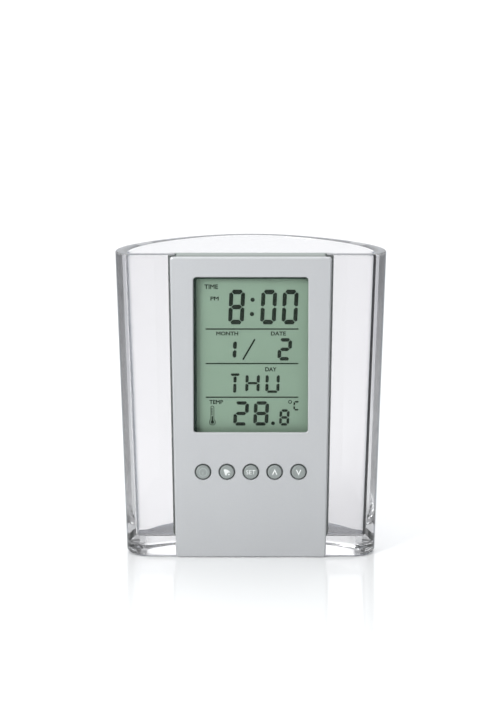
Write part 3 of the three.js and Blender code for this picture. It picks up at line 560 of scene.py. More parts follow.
def keep_result(piece: bpy.types.Object, sharp: float = SHARP) -> None:
    """Runs a piece's modifiers and keeps what they give as its plain mesh.

    Args:
        piece: The piece.
        sharp: Edges that bend by more degrees than this stay sharp.
    """
    graph = bpy.context.evaluated_depsgraph_get()
    graph.update()
    form = bmesh.new()
    form.from_mesh(bpy.data.meshes.new_from_object(piece.evaluated_get(graph)))
    piece.modifiers.clear()
    bmesh.ops.remove_doubles(form, verts=form.verts, dist=WELD)
    bmesh.ops.dissolve_degenerate(form, edges=form.edges, dist=WELD)
    piece.data = to_mesh(piece.name, form, sharp)


def skin(form: Form, rings: Sequence[Ring], ends: Ends = Ends.CAPPED) -> None:
    """Adds the skin over rings of points to a bmesh.

    Args:
        form: The bmesh.
        rings: Rings with the same number of points, in millimetres.
        ends: How the skin ends.
    """
    rows = [[form.verts.new(p * MM) for p in ring] for ring in rings]
    beside = rows[1:] + rows[:1] if ends is Ends.JOINED else rows[1:]
    for low, high in zip(rows, beside):
        for i, corner in enumerate(low):
            after = (i + 1) % len(low)
            form.faces.new((corner, low[after], high[after], high[i]))
    if ends is Ends.CAPPED:
        form.faces.new(rows[0])
    if ends is not Ends.JOINED:
        form.faces.new(rows[-1])


def plates(outlines: Sequence[Outline], front: float, back: float) -> Form:
    """Makes thin plates of x and z outlines between two depths, all in millimetres.

    Args:
        outlines: Corners of each plate.
        front: Depth of the front faces in the frame.
        back: Depth of the back faces.

    Returns:
        All the plates in one bmesh.
    """
    form = bmesh.new()
    for outline in outlines:
        skin(form, [[Vector((x, y, z)) for x, z in outline] for y in (front, back)])
    return form


def band(form: Form, outer: Outline, inner: Outline, front: float, back: float) -> Form:
    """Adds a flat band between two outlines with as many corners, all in millimetres.

    Args:
        form: The bmesh.
        outer: Outline of the outside, as x and z.
        inner: Outline of the inside.
        front: Depth of the front face in the frame.
        back: Depth of the back face.

    Returns:
        The bmesh.
    """
    sides = ((outer, front), (outer, back), (inner, back), (inner, front))
    skin(form, [[Vector((x, y, z)) for x, z in outline] for outline, y in sides], Ends.JOINED)
    return form


def disc(centre: Point, radius: float, steps: int = 28) -> Outline:
    """Outline of a disc as x and z points."""
    turns = [2 * math.pi * k / steps for k in range(steps)]
    return [(centre[0] + radius * math.cos(a), centre[1] + radius * math.sin(a)) for a in turns]


def stroke(points: Sequence[Point], width: float) -> Outline:
    """Outline of a bent line with flat ends.

    Args:
        points: The line's points as x and z.
        width: Its width.

    Returns:
        The corners of the line's outline.
    """
    steepest = 0.4  # a sharp bend is widened as if it were no sharper than this
    path = [Vector(p) for p in points]
    sides: tuple[Outline, Outline] = ([], [])
    for i, here in enumerate(path):
        before = (here - path[i - 1]).normalized() if i else None
        after = (path[i + 1] - here).normalized() if i + 1 < len(path) else None
        along = ((before or after) + (after or before)).normalized()
        across = Vector((-along.y, along.x))
        lean = across.dot(Vector((-(after or before).y, (after or before).x)))
        for side, sign in zip(sides, (1, -1)):
            side.append(tuple(here + across * (sign * width / 2 / max(lean, steepest))))
    return sides[0] + sides[1][::-1]


def seat(
    piece: bpy.types.Object, finish: Finish, body: str, stands_for: Sequence[str] = ()
) -> None:
    """Dresses a finished piece and puts it on its body.

    Args:
        piece: The piece.
        finish: Its finish.
        body: The body that it rides on.
        stands_for: The CAD nodes that it replaces.
    """
    finish.dress(piece)
    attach(piece, body)
    if stands_for:
        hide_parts(*stands_for)
    LOG.info("%s: %d faces, rides on %s", piece.name, len(piece.data.polygons), body)


def finish_piece(name: str, form: Form, finish: Finish, body: str) -> None:
    """Makes a piece of a bmesh in the frame, and seats it as seat does."""
    seat(new_object(name, to_mesh(name, form)), finish, body)


# Pieces that repeat


@dataclass
class NodePiece:
    """A piece that a geometry node tree makes from a set of places."""

    name: str
    finish: Finish
    slot: str
    places: Sequence[Place]  # in the frame, mm
    stands_for: Sequence[str] = ()

    def sizes(self) -> dict[str, object]:
        """Values of the tree's named inputs, lengths in metres."""
        raise NotImplementedError

    def grow(self, add: Adder, size: bpy.types.NodeOutputs) -> Node:
        """Builds the tree's own nodes.

        Args:
            add: Adds a node to the tree.
            size: The tree's inputs: its places and each named size.

        Returns:
            The node that gives the instances on their places.
        """
        raise NotImplementedError

    def tree(self) -> bpy.types.NodeTree:
        """Makes the whole tree: places in, real dressed geometry out.

        Returns:
            The tree, with a named input for each size.
        """
        tree = bpy.data.node_groups.new(self.name, "GeometryNodeTree")
        tree.interface.new_socket("Geometry", in_out="OUTPUT", socket_type="NodeSocketGeometry")
        kinds = {float: "Float", int: "Int", tuple: "Vector"}
        inlets = {"Places": "Geometry", "Material": "Material"}
        inlets |= {title: kinds[type(value)] for title, value in self.sizes().items()}
        for title, kind in inlets.items():
            tree.interface.new_socket(title, in_out="INPUT", socket_type=f"NodeSocket{kind}")
        add = partial(add_node, tree)
        size = add("NodeGroupInput").outputs
        real = add("GeometryNodeRealizeInstances", (self.grow(add, size),))
        dressed = add("GeometryNodeSetMaterial", {"Geometry": real, "Material": size["Material"]})
        add("NodeGroupOutput", (dressed,))
        return tree

    def build(self) -> None:
        """Runs the tree over the places and keeps its result as a plain mesh on the clock."""
        dots = bpy.data.meshes.new(self.name)
        dots.from_pydata([Vector(p) * MM for p in self.places], [], [])
        piece = new_object(self.name, dots)
        growth = piece.modifiers.new(self.name, "NODES")
        growth.node_group = self.tree()
        values = {"Material": self.finish.material(), **self.sizes()}
        for item in growth.node_group.interface.items_tree:
            if item.in_out == "INPUT" and item.name in values:
                growth[item.identifier] = values[item.name]
        keep_result(piece)
        seat(piece, self.finish, "clock", self.stands_for)


@dataclass
class BarRows(NodePiece):
    """Rows of flat bars, one row on each place: carbon layers or plated pads."""

    count: int = 51
    pitch: float = 0.8
    bar: Place = (0.45, 0.04, 1.4)  # width, thickness and height

    def sizes(self) -> dict[str, object]:
        """Number, spacing and size of the bars.

        Returns:
            Values of the tree's named inputs, lengths in metres.
        """
        half = (self.count - 1) * self.pitch / 2
        return {
            "Count": self.count,
            "First": (-half * MM, 0.0, 0.0),
            "Step": (self.pitch * MM, 0.0, 0.0),
            "Bar": tuple(v * MM for v in self.bar),
        }

    def grow(self, add: Adder, size: bpy.types.NodeOutputs) -> Node:
        """A line of points carries the bars, and each place carries the line.

        Args:
            add: Adds a node to the tree.
            size: The tree's inputs.

        Returns:
            The node that gives the rows.
        """
        ends = {"Count": size["Count"], "Start Location": size["First"], "Offset": size["Step"]}
        line = add("GeometryNodeMeshLine", ends, mode="OFFSET")
        bar = add("GeometryNodeMeshCube", {"Size": size["Bar"]})
        row = add("GeometryNodeInstanceOnPoints", {"Points": line, "Instance": bar})
        return add("GeometryNodeInstanceOnPoints", {"Points": size["Places"], "Instance": row})


@dataclass
class Screws(NodePiece):
    """Screws with a low round head, a cross recess and a spaced thread; each place is under a head."""

    head: float = 1.9
    head_deep: float = 0.9
    shank: float = 0.9
    long: float = 5.0
    thread: float = 0.12  # how far the thread stands out of its core
    turn: float = 0.8  # length of one turn of the thread
    slit: Point = (1.15, 0.26)  # length and width of a slit of the cross, of the head's radius
    bare: float = 1.1  # length of core without thread at each end, of the core's radius
    head_steps: tuple[int, int] = (28, 14)
    shank_steps: int = 20
    thread_sides: int = 4

    def sizes(self) -> dict[str, object]:
        """Sizes of the head, its recess, the core and the thread.

        Returns:
            Values of the tree's named inputs, lengths in metres.
        """
        head, deep, long = self.head * MM, self.head_deep * MM, self.long * MM
        core = (self.shank - self.thread) * MM
        run = long - 2 * self.bare * core
        length, width = (share * head for share in self.slit)
        return {
            "Head": head,
            "Flat": (1.0, 1.0, deep / head),
            "Cut": (3 * head, 3 * head, 2 * head),  # block that takes the ball's lower half away
            "Cut place": (0.0, 0.0, -head),
            "Slit": (length, width, deep),
            "Cross": (width, length, deep),
            "Slit place": (0.0, 0.0, deep),
            "Core": core,
            "Core length": long - core,
            "Core place": (0.0, 0.0, (core - long) / 2),
            "Tip length": core,
            "Tip place": (0.0, 0.0, -long),
            "Turns": run / (self.turn * MM),
            "Thread run": run,
            "Thread place": (0.0, 0.0, self.bare * core - long),
            "Thread": self.thread * MM,
            "Facing": (-math.pi / 2, 0.0, 0.0),
        }

    def grow(self, add: Adder, size: bpy.types.NodeOutputs) -> Node:
        """One screw from a flattened ball, a core, a tip and a spiral, stood on every place.

        Args:
            add: Adds a node to the tree.
            size: The tree's inputs.

        Returns:
            The node that gives the screws.
        """
        across, up = self.head_steps
        ball = add("GeometryNodeMeshUVSphere", {"Segments": across, "Rings": up, "Radius": size["Head"]})
        dome = add("GeometryNodeTransform", {"Geometry": ball, "Scale": size["Flat"]})
        blades = []
        for form, place in (("Cut", "Cut place"), ("Slit", "Slit place"), ("Cross", "Slit place")):
            box = add("GeometryNodeMeshCube", {"Size": size[form]})
            blades.append(add("GeometryNodeTransform", {"Geometry": box, "Translation": size[place]}))
        meshes = {"Mesh 1": dome, "Mesh 2": blades}
        parts = [add("GeometryNodeMeshBoolean", meshes, operation="DIFFERENCE", solver="EXACT")]
        rod = {"Vertices": self.shank_steps, "Radius": size["Core"], "Depth": size["Core length"]}
        core = add("GeometryNodeMeshCylinder", rod)
        cone = {"Radius Top": size["Core"], "Radius Bottom": size["Thread"], "Depth": size["Tip length"]}
        tip = add("GeometryNodeMeshCone", {"Vertices": self.shank_steps, **cone})
        turns = {"Resolution": self.shank_steps, "Rotations": size["Turns"], "Height": size["Thread run"]}
        turns |= {"Start Radius": size["Core"], "End Radius": size["Core"]}
        spiral = add("GeometryNodeCurveSpiral", turns)
        profile = {"Resolution": self.thread_sides, "Radius": size["Thread"]}
        ridge = add("GeometryNodeCurvePrimitiveCircle", profile)
        sweep = {"Curve": spiral, "Profile Curve": ridge, "Fill Caps": True}
        thread = add("GeometryNodeCurveToMesh", sweep)
        for part, place in ((core, "Core place"), (tip, "Tip place"), (thread, "Thread place")):
            parts.append(add("GeometryNodeTransform", {"Geometry": part, "Translation": size[place]}))
        screw = add("GeometryNodeJoinGeometry", {"Geometry": parts})
        stood = {"Points": size["Places"], "Instance": screw, "Rotation": size["Facing"]}
        return add("GeometryNodeInstanceOnPoints", stood)


# Clear cup


@dataclass
class ClearCup:
    """The cup: a thick clear shell on a solid base, with a slot in its flat front for the clock."""

    rim: float = 115.4
    base: float = 7.0
    front: float = 1.2
    front_wall: float = 4.2
    side_wall: float = 4.6
    back_wall: float = 3.2
    half: Point = (46.4, 50.0)  # half width at the table and at the rim
    depth: Point = (34.0, 37.0)  # front to back at the table and at the rim
    corner: float = 8.5
    cavity_corner: float = 0.9
    side_pull: float = 11.0
    back_pull: float = 22.0
    rim_round: float = 0.6
    foot_round: float = 1.4
    floor_round: float = 0.9
    face_half: Point = (27.95, 29.7)  # clock's face at its lower and its upper edge
    face_span: Point = (0.1, 115.0)
    slot_inset: float = 1.7  # edge of the slot inside the edge of the face
    turn_steps: int = 22
    bow_steps: int = 60
    flat_points: Point = (0.35, 3.0)  # extra points beside a corner keep the front flat to the eye
    beside_round: float = 0.4  # extra ring beside a round edge keeps the wall flat
    beside_floor: float = 0.3
    levels: tuple[float, ...] = (20.0, 40.0, 60.0, 80.0, 100.0, 114.4)  # heights of the wall's rings
    base_levels: Point = (6.0, 7.0)  # and of two more outside, beside the floor
    foot_steps: int = 8
    round_steps: int = 6
    sharp: float = 32.0  # edges that bend by more degrees than this stay sharp
    witness: Point = (0.4, 1.0)  # share of the painted corner shade at the left and at the right corner, darker on the right, away from the key light
    corner_shade_reach: float = 0.86  # how far it reaches round the corner, of the corner's radius
    corner_shade_gap: float = 0.03  # it ends this far before the flat of the side wall
    corner_shade_foot: float = 0.5  # it starts this far above the floor
    hair: float = 0.01

    def plan(self, z: float, half: float, front: float, back: float, corner: float) -> Ring:
        """Draws the cup's plan at a height.

        Args:
            z: Height, mm.
            half: Half width.
            front: Depth of the flat front behind the clock's face.
            back: Depth of the middle of the back.
            corner: Radius of the front corners.

        Returns:
            The ring of points, in the frame.
        """
        turns = [math.pi / 2 * k / self.turn_steps for k in range(self.turn_steps + 1)]
        x, y = half - corner, front + corner
        right = [Vector((x - reach, front)) for reach in reversed(self.flat_points)]
        right += [Vector((x + corner * math.sin(a), y - corner * math.cos(a))) for a in turns]
        ends = (
            Vector((half, y)),
            Vector((half, y + self.side_pull)),
            Vector((self.back_pull, back)),
            Vector((0.0, back)),
        )
        for k in range(1, self.bow_steps + 1):
            t = k / self.bow_steps
            weights = ((1 - t) ** 3, 3 * t * (1 - t) ** 2, 3 * t * t * (1 - t), t**3)
            right.append(sum((p * w for p, w in zip(ends, weights)), Vector((0.0, 0.0))))
        left = [Vector((-p.x, p.y)) for p in reversed(right[:-1])]
        return [Vector((p.x, p.y + FRONT, z)) for p in (*right, *left)]

    def measure(self, pair: Point, z: float) -> float:
        """Value at a height, from its value at the table and at the rim."""
        return pair[0] + (pair[1] - pair[0]) * z / self.rim

    def outer(self, z: float, inset: float = 0.0) -> Ring:
        """Ring of the outside at a height, drawn in by an inset."""
        back = self.front + self.measure(self.depth, z) - inset
        return self.plan(z, self.measure(self.half, z) - inset, self.front + inset, back, self.corner - inset)

    def inner(self, z: float, flare: float = 0.0) -> Ring:
        """Ring of the inside at a height, spread by a flare.

        Args:
            z: Height, mm.
            flare: How far it is spread on every side.

        Returns:
            The ring of points, in the frame.
        """
        back = self.front + self.measure(self.depth, z) - self.back_wall + flare
        half = self.measure(self.half, z) - self.side_wall + flare
        return self.plan(z, half, self.front + self.front_wall - flare, back, self.cavity_corner)

    def quarter(self, radius: float, steps: int) -> Outline:
        """Rise and inset of each step round a quarter-round edge, from its flat to its wall."""
        turns = [math.pi / 2 * k / steps for k in range(steps + 1)]
        return [(radius * (1 - math.cos(a)), radius * (1 - math.sin(a))) for a in turns]

    def shell(self) -> Form:
        """Makes the whole shell, still without its slot.

        Returns:
            The closed shell as a bmesh.
        """
        foot = self.quarter(self.foot_round, self.foot_steps)
        edge = self.quarter(self.rim_round, self.round_steps)
        rings = [self.outer(0.0, self.foot_round + self.beside_round)]
        rings += [self.outer(rise, inset) for rise, inset in foot]
        rings += [self.outer(self.foot_round + self.beside_round)]
        rings += [self.outer(z) for z in (*self.base_levels, *self.levels)]
        rings += [self.outer(self.rim - drop, inset) for drop, inset in reversed(edge)]
        rings += [self.inner(self.rim - drop, inset) for drop, inset in edge]
        rings += [self.inner(z) for z in reversed(self.levels)]
        rings += [self.inner(self.base + self.floor_round + self.beside_floor)]
        floor = reversed(self.quarter(self.floor_round, self.round_steps))
        rings += [self.inner(self.base + rise, -inset) for rise, inset in floor]
        rings += [self.inner(self.base, -self.floor_round - self.beside_round)]
        form = bmesh.new()
        skin(form, rings)
        return form

    def slot_cutter(self) -> bpy.types.Object:
        """Makes the wedge that opens the front wall for the clock.

        Returns:
            The wedge, which runs past the wall and the rim on every side that it opens.
        """
        past_wall, past_rim = 1.0, 2.0
        slope = (self.face_half[1] - self.face_half[0]) / (self.face_span[1] - self.face_span[0])
        low, high = self.base + self.hair, self.rim + past_rim
        foot, top = (
            self.face_half[0] + slope * (z - self.face_span[0]) - self.slot_inset for z in (low, high)
        )
        outline = [(-foot, low), (foot, low), (top, high), (-top, high)]
        front = self.front + FRONT
        form = plates([outline], front - past_wall, front + self.front_wall + past_wall)
        return new_object("slot_cutter", to_mesh("slot_cutter", form))

    def mark_corners(self, mesh: bpy.types.Mesh) -> None:
        """Marks the points of the two upright corners at the front of the inside with how much painted shade
        darkens them.

        Args:
            mesh: The finished cup, in metres.
        """
        layer = mesh.attributes.new(PAINTED_CORNER_SHADE, "FLOAT", "POINT")
        start = self.front + self.front_wall + FRONT - self.hair
        end = start + self.hair + self.cavity_corner - self.corner_shade_gap
        for point in mesh.vertices:
            x, y, z = point.co / MM
            side = self.measure(self.half, z) - self.side_wall
            round_ = side - self.cavity_corner * self.corner_shade_reach < abs(x) < side + self.hair
            if round_ and start < y < end and z > self.base + self.corner_shade_foot:
                layer.data[point.index].value = self.witness[x > 0]

    def build(self) -> None:
        """Builds the cup in place of its CAD solid."""
        cup = new_object("clear_cup", to_mesh("clear_cup", self.shell()))
        cutter = self.slot_cutter()
        opening = cup.modifiers.new("slot", "BOOLEAN")
        opening.operation = "DIFFERENCE"
        opening.object = cutter
        opening.solver = "EXACT"
        keep_result(cup, self.sharp)
        bpy.data.objects.remove(cutter)
        self.mark_corners(cup.data)
        seat(cup, SHOP.cup, "holder", ["holder_cup"])


# Display


class Bar(Enum):
    """The seven bars of a figure, and the upright in the middle of a letter."""

    TOP = "a"
    UPPER_RIGHT = "b"
    LOWER_RIGHT = "c"
    BOTTOM = "d"
    LOWER_LEFT = "e"
    UPPER_LEFT = "f"
    MIDDLE = "g"
    UPPER_CENTRE = "i"
    LOWER_CENTRE = "l"


@dataclass
class Figure:
    """A figure or letter of bars, given by its box on the display, mm."""

    bars: str
    left: float
    right: float
    bottom: float
    top: float
    across: float  # thickness of the level bars
    upright: float  # thickness of the upright bars
    lean: float = 0.045
    gap: float = 0.14
    outer_cut: float = 0.55  # how far a bar's corners are cut on its outer side, of its half thickness
    inner_cut: float = 1.0
    centre_cut: float = 0.6

    def corners(self, ends: Point, middle: float, half: float, cuts: Point) -> Outline:
        """Six corners of a bar that runs along the first axis.

        Args:
            ends: Where the bar starts and ends.
            middle: Its middle line, on the second axis.
            half: Half its thickness.
            cuts: How far its corners are cut on the far and on the near side, of that half.

        Returns:
            The corners.
        """
        start, end = ends
        far, near = (half * cut for cut in cuts)
        high, low = middle + half, middle - half
        upper = [(start, middle), (start + far, high), (end - far, high)]
        return [*upper, (end, middle), (end - near, low), (start + near, low)]

    def outline(self, bar: Bar) -> Outline:
        """Gives one bar's outline on the display.

        Args:
            bar: The bar.

        Returns:
            Its corners as x and z.
        """
        high = self.top - self.bottom
        wide = self.right - self.left - high * abs(self.lean)
        t, s, g = self.across / 2, self.upright / 2, self.gap
        level, lower, upper = (s + g, wide - s - g), (t + g, high / 2 - g), (high / 2 + g, high - t - g)
        first, last = (self.outer_cut, self.inner_cut), (self.inner_cut, self.outer_cut)
        inner, centre = (self.inner_cut, self.inner_cut), (self.centre_cut, self.centre_cut)
        lying = {
            Bar.TOP: (level, high - t, t, first),
            Bar.MIDDLE: (level, high / 2, t, inner),
            Bar.BOTTOM: (level, t, t, last),
        }
        standing = {
            Bar.UPPER_LEFT: (upper, s, s, last),
            Bar.LOWER_LEFT: (lower, s, s, last),
            Bar.UPPER_RIGHT: (upper, wide - s, s, first),
            Bar.LOWER_RIGHT: (lower, wide - s, s, first),
            Bar.UPPER_CENTRE: ((high / 2 + g, high - 2 * t - g), wide / 2, s, centre),
            Bar.LOWER_CENTRE: ((0.0, high / 2 - g), wide / 2, s, centre),
        }
        if bar in lying:
            shape = self.corners(*lying[bar])
        else:
            shape = [(u, v) for v, u in self.corners(*standing[bar])]
        return [(self.left + u + v * self.lean, self.bottom + v) for u, v in shape]

    def outlines(self) -> list[Outline]:
        """Outlines of the figure's lit bars."""
        return [self.outline(Bar(letter)) for letter in self.bars]


@dataclass
class Thermometer:
    """The small thermometer sign beside the temperature, mm."""

    x: float = -14.25
    z: float = 51.4  # centre of the bulb
    bulb: float = 0.66
    stem: Point = (2.3, 0.5)  # height and width of the filled stem
    glass: Point = (1.12, 0.24)  # radius and width of the line round the bulb
    glass_ends: Point = (-240, 60)  # where that line starts and ends, degrees
    tube: Point = (0.56, 0.22)  # radius and width of the line up the tube and over its top
    tube_span: Point = (0.97, 5.6)
    marks: tuple[float, ...] = (3.0, 3.56, 4.12, 4.68, 5.24)
    mark_ends: Point = (-0.42, 0.1)
    mark_thick: float = 0.3
    turn: int = 20  # degrees from point to point of a curve

    def arc(self, z: float, radius: float, start: float, end: float) -> Outline:
        """Points round the sign's middle line from one angle to another, degrees."""
        turns = [math.radians(a) for a in range(int(start), int(end) + 1, self.turn)]
        return [(self.x + radius * math.cos(a), z + radius * math.sin(a)) for a in turns]

    def outlines(self) -> list[Outline]:
        """Gives every part of the sign.

        Returns:
            The outlines.
        """
        x, z, half = self.x, self.z, self.tube[0]
        low, high = (z + v for v in self.tube_span)
        tube = [(x + half, low), *self.arc(high, half, 0, 180), (x - half, low)]
        return [
            disc((x, z), self.bulb),
            stroke([(x, z), (x, z + self.stem[0])], self.stem[1]),
            stroke(self.arc(z, self.glass[0], *self.glass_ends), self.glass[1]),
            stroke(tube, self.tube[1]),
            *(stroke([(x + end, z + v) for end in self.mark_ends], self.mark_thick) for v in self.marks),
        ]


@dataclass
class Caption:
    """A small printed word, fitted to its box on the display or on a key, mm."""

    word: str
    left: float
    right: float
    bottom: float
    top: float
    bold: float = 0.03  # added thickness of the strokes, as a share of the letter height
    half_deep: float = 0.01  # of the letters as they are first made, before they are fitted
    weld: float = 1e-5  # points of those letters that lie closer become one

    def letters(self) -> Form:
        """Makes the plain letters of the word, lying flat.

        Returns:
            The letters at Blender's own text size.
        """
        curve = bpy.data.curves.new("word", "FONT")
        curve.body = self.word
        curve.extrude = self.half_deep
        curve.bevel_depth = self.bold
        curve.bevel_resolution = 0
        curve.resolution_u = 3
        text = bpy.data.objects.new("word", curve)
        bpy.context.scene.collection.objects.link(text)
        graph = bpy.context.evaluated_depsgraph_get()
        flat = bpy.data.meshes.new_from_object(text.evaluated_get(graph))
        bpy.data.objects.remove(text)
        letters = bmesh.new()
        letters.from_mesh(flat)
        bpy.data.meshes.remove(flat)
        bmesh.ops.remove_doubles(letters, verts=letters.verts, dist=self.weld)
        return letters

    def add_to(self, form: Form, front: float, back: float) -> Form:
        """Adds the word as thin plates.

        Args:
            form: The bmesh that takes it.
            front: Depth of the front of the letters.
            back: Depth of their back.

        Returns:
            The bmesh.
        """
        letters = self.letters()
        xs = [v.co.x for v in letters.verts]
        ys = [v.co.y for v in letters.verts]
        wide = (self.right - self.left) / (max(xs) - min(xs))
        high = (self.top - self.bottom) / (max(ys) - min(ys))
        deep = self.half_deep + self.bold
        for v in letters.verts:
            x = self.left + (v.co.x - min(xs)) * wide
            z = self.bottom + (v.co.y - min(ys)) * high
            y = back + (front - back) * (v.co.z + deep) / (2 * deep)
            v.co = Vector((x, y, z)) * MM
        made = bpy.data.meshes.new("word")
        letters.to_mesh(made)
        letters.free()
        form.from_mesh(made)
        bpy.data.meshes.remove(made)
        return form


@dataclass
class Display:
    """The liquid crystal display: window, polariser, two glasses, reflector and the lit figures between."""

    front: float = -15.24
    back: float = -15.215
    rules: tuple[float, ...] = (86.97, 73.83, 60.94)
    rule_span: Point = (-16.7, 17.6)
    rule_thick: float = 0.5
    time: tuple[Figure, ...] = (
        Figure("abcdefg", -8.42, -2.03, 88.75, 101.9, 1.75, 1.5),
        Figure("abcdef", 3.38, 9.75, 88.75, 101.9, 1.75, 1.5),
        Figure("abcdef", 11.29, 17.66, 88.75, 101.9, 1.75, 1.5),
    )
    colon: tuple[Point, ...] = ((0.66, 98.08), (0.44, 92.66))
    colon_dot: float = 0.8
    date: tuple[Figure, ...] = (
        Figure("bc", -10.6, -5.07, 75.2, 83.1, 1.3, 1.4),
        Figure("abged", 9.78, 15.3, 74.98, 83.51, 1.35, 1.35),
    )
    slash: tuple[Point, Point] = ((-2.9, 75.3), (1.5, 83.1))
    slash_thick: float = 0.62
    day: tuple[Figure, ...] = (
        Figure("ail", -8.39, -3.37, 62.59, 70.05, 0.95, 1.15, 0.03),
        Figure("bcefg", -2.11, 3.41, 62.59, 70.05, 0.9, 1.15, 0.03),
        Figure("bcdef", 5.32, 10.77, 62.59, 70.05, 0.95, 1.15, 0.03),
    )
    degrees: tuple[Figure, ...] = (
        Figure("abged", -6.59, -0.63, 50.04, 59.37, 1.3, 1.35),
        Figure("abcdefg", 0.85, 6.83, 50.04, 59.37, 1.3, 1.35),
        Figure("abcdefg", 10.45, 14.43, 50.04, 56.3, 0.98, 1.0),
        Figure("adef", 15.74, 18.2, 55.84, 59.49, 0.62, 0.62, 0.03, 0.1),
    )
    point: Point = (8.23, 50.95)
    point_dot: float = 0.72
    ring: Point = (14.56, 59.14)
    ring_radii: Point = (0.72, 0.4)
    words: tuple[Caption, ...] = (
        Caption("TIME", -17.1, -12.03, 102.13, 103.87),
        Caption("PM", -14.87, -11.81, 97.78, 99.29),
        Caption("MONTH", -12.76, -4.65, 84.5, 86.02),
        Caption("DATE", 7.41, 12.95, 84.5, 86.02),
        Caption("DAY", 5.32, 9.58, 70.81, 72.46),
        Caption("TEMP", -15.37, -10.26, 58.33, 59.87),
    )
    # painted shadow: the inner box sits far in on the left and top and close on the right and bottom, so the
    # dark band shows only where the bezel's shade falls
    border_out: Box = (-21.9, 21.9, 47.4, 108.2)
    border_in: Box = (-20.0, 21.45, 47.9, 106.3)
    border_rounds: Point = (1.0, 0.7)
    border_turn: int = 15  # degrees from point to point of a round corner
    border_depth: Point = (-16.79, -16.76)

    def figures(self) -> dict[str, Form]:
        """Draws every row of figures, sign, word and rule between the glasses.

        Returns:
            A bmesh for each piece, under its name.
        """
        deep = (self.front, self.back)
        rows = {
            "time": (self.time, [disc(centre, self.colon_dot) for centre in self.colon]),
            "date": (self.date, []),
            "day": (self.day, []),
            "temperature": (self.degrees, [disc(self.point, self.point_dot)]),
            "slash": ((), [stroke(self.slash, self.slash_thick)]),
        }
        forms = {}
        for name, (row, others) in rows.items():
            forms[name] = plates([shape for one in row for shape in one.outlines()] + others, *deep)
        forms["degree_ring"] = band(bmesh.new(), *(disc(self.ring, r) for r in self.ring_radii), *deep)
        forms["thermometer"] = plates(Thermometer().outlines(), *deep)
        forms["captions"] = bmesh.new()
        for word in self.words:
            word.add_to(forms["captions"], *deep)
        rules = [stroke([(x, level) for x in self.rule_span], self.rule_thick) for level in self.rules]
        forms["rules"] = plates(rules, *deep)
        return forms

    def corners(self, box: Box, radius: float) -> Outline:
        """Outline of a round-cornered box.

        Args:
            box: Its left, right, bottom and top.
            radius: Radius of its corners.

        Returns:
            Its points as x and z.
        """
        left, right, low, high = box
        centres = [(right - radius, high - radius), (left + radius, high - radius)]
        centres += [(left + radius, low + radius), (right - radius, low + radius)]
        return [
            (x + radius * math.cos(math.radians(a)), z + radius * math.sin(math.radians(a)))
            for (x, z), start in zip(centres, (0, 90, 180, 270))
            for a in range(start, start + 91, self.border_turn)
        ]

    def build(self) -> None:
        """Dresses the layers of the display, lays the figures between its glasses and adds the painted shadow
        along the window's left and top.
        """
        SHOP.window.dress_nodes("window_lens")
        SHOP.polariser.dress_nodes("lcd_front_polariser")
        SHOP.glass.dress_nodes("lcd_front_glass", "lcd_rear_glass")
        SHOP.reflector.dress_nodes("lcd_reflector")
        SHOP.white.dress_nodes("lcd_holder")
        SHOP.strip.dress_nodes("contact_strip")
        for name, form in self.figures().items():
            finish_piece(f"display_{name}", form, SHOP.figures, "clock")
        boxes = zip((self.border_out, self.border_in), self.border_rounds)
        form = band(bmesh.new(), *(self.corners(box, radius) for box, radius in boxes), *self.border_depth)
        finish_piece("display_painted_shadow", form, SHOP.border, "clock")


# Keys


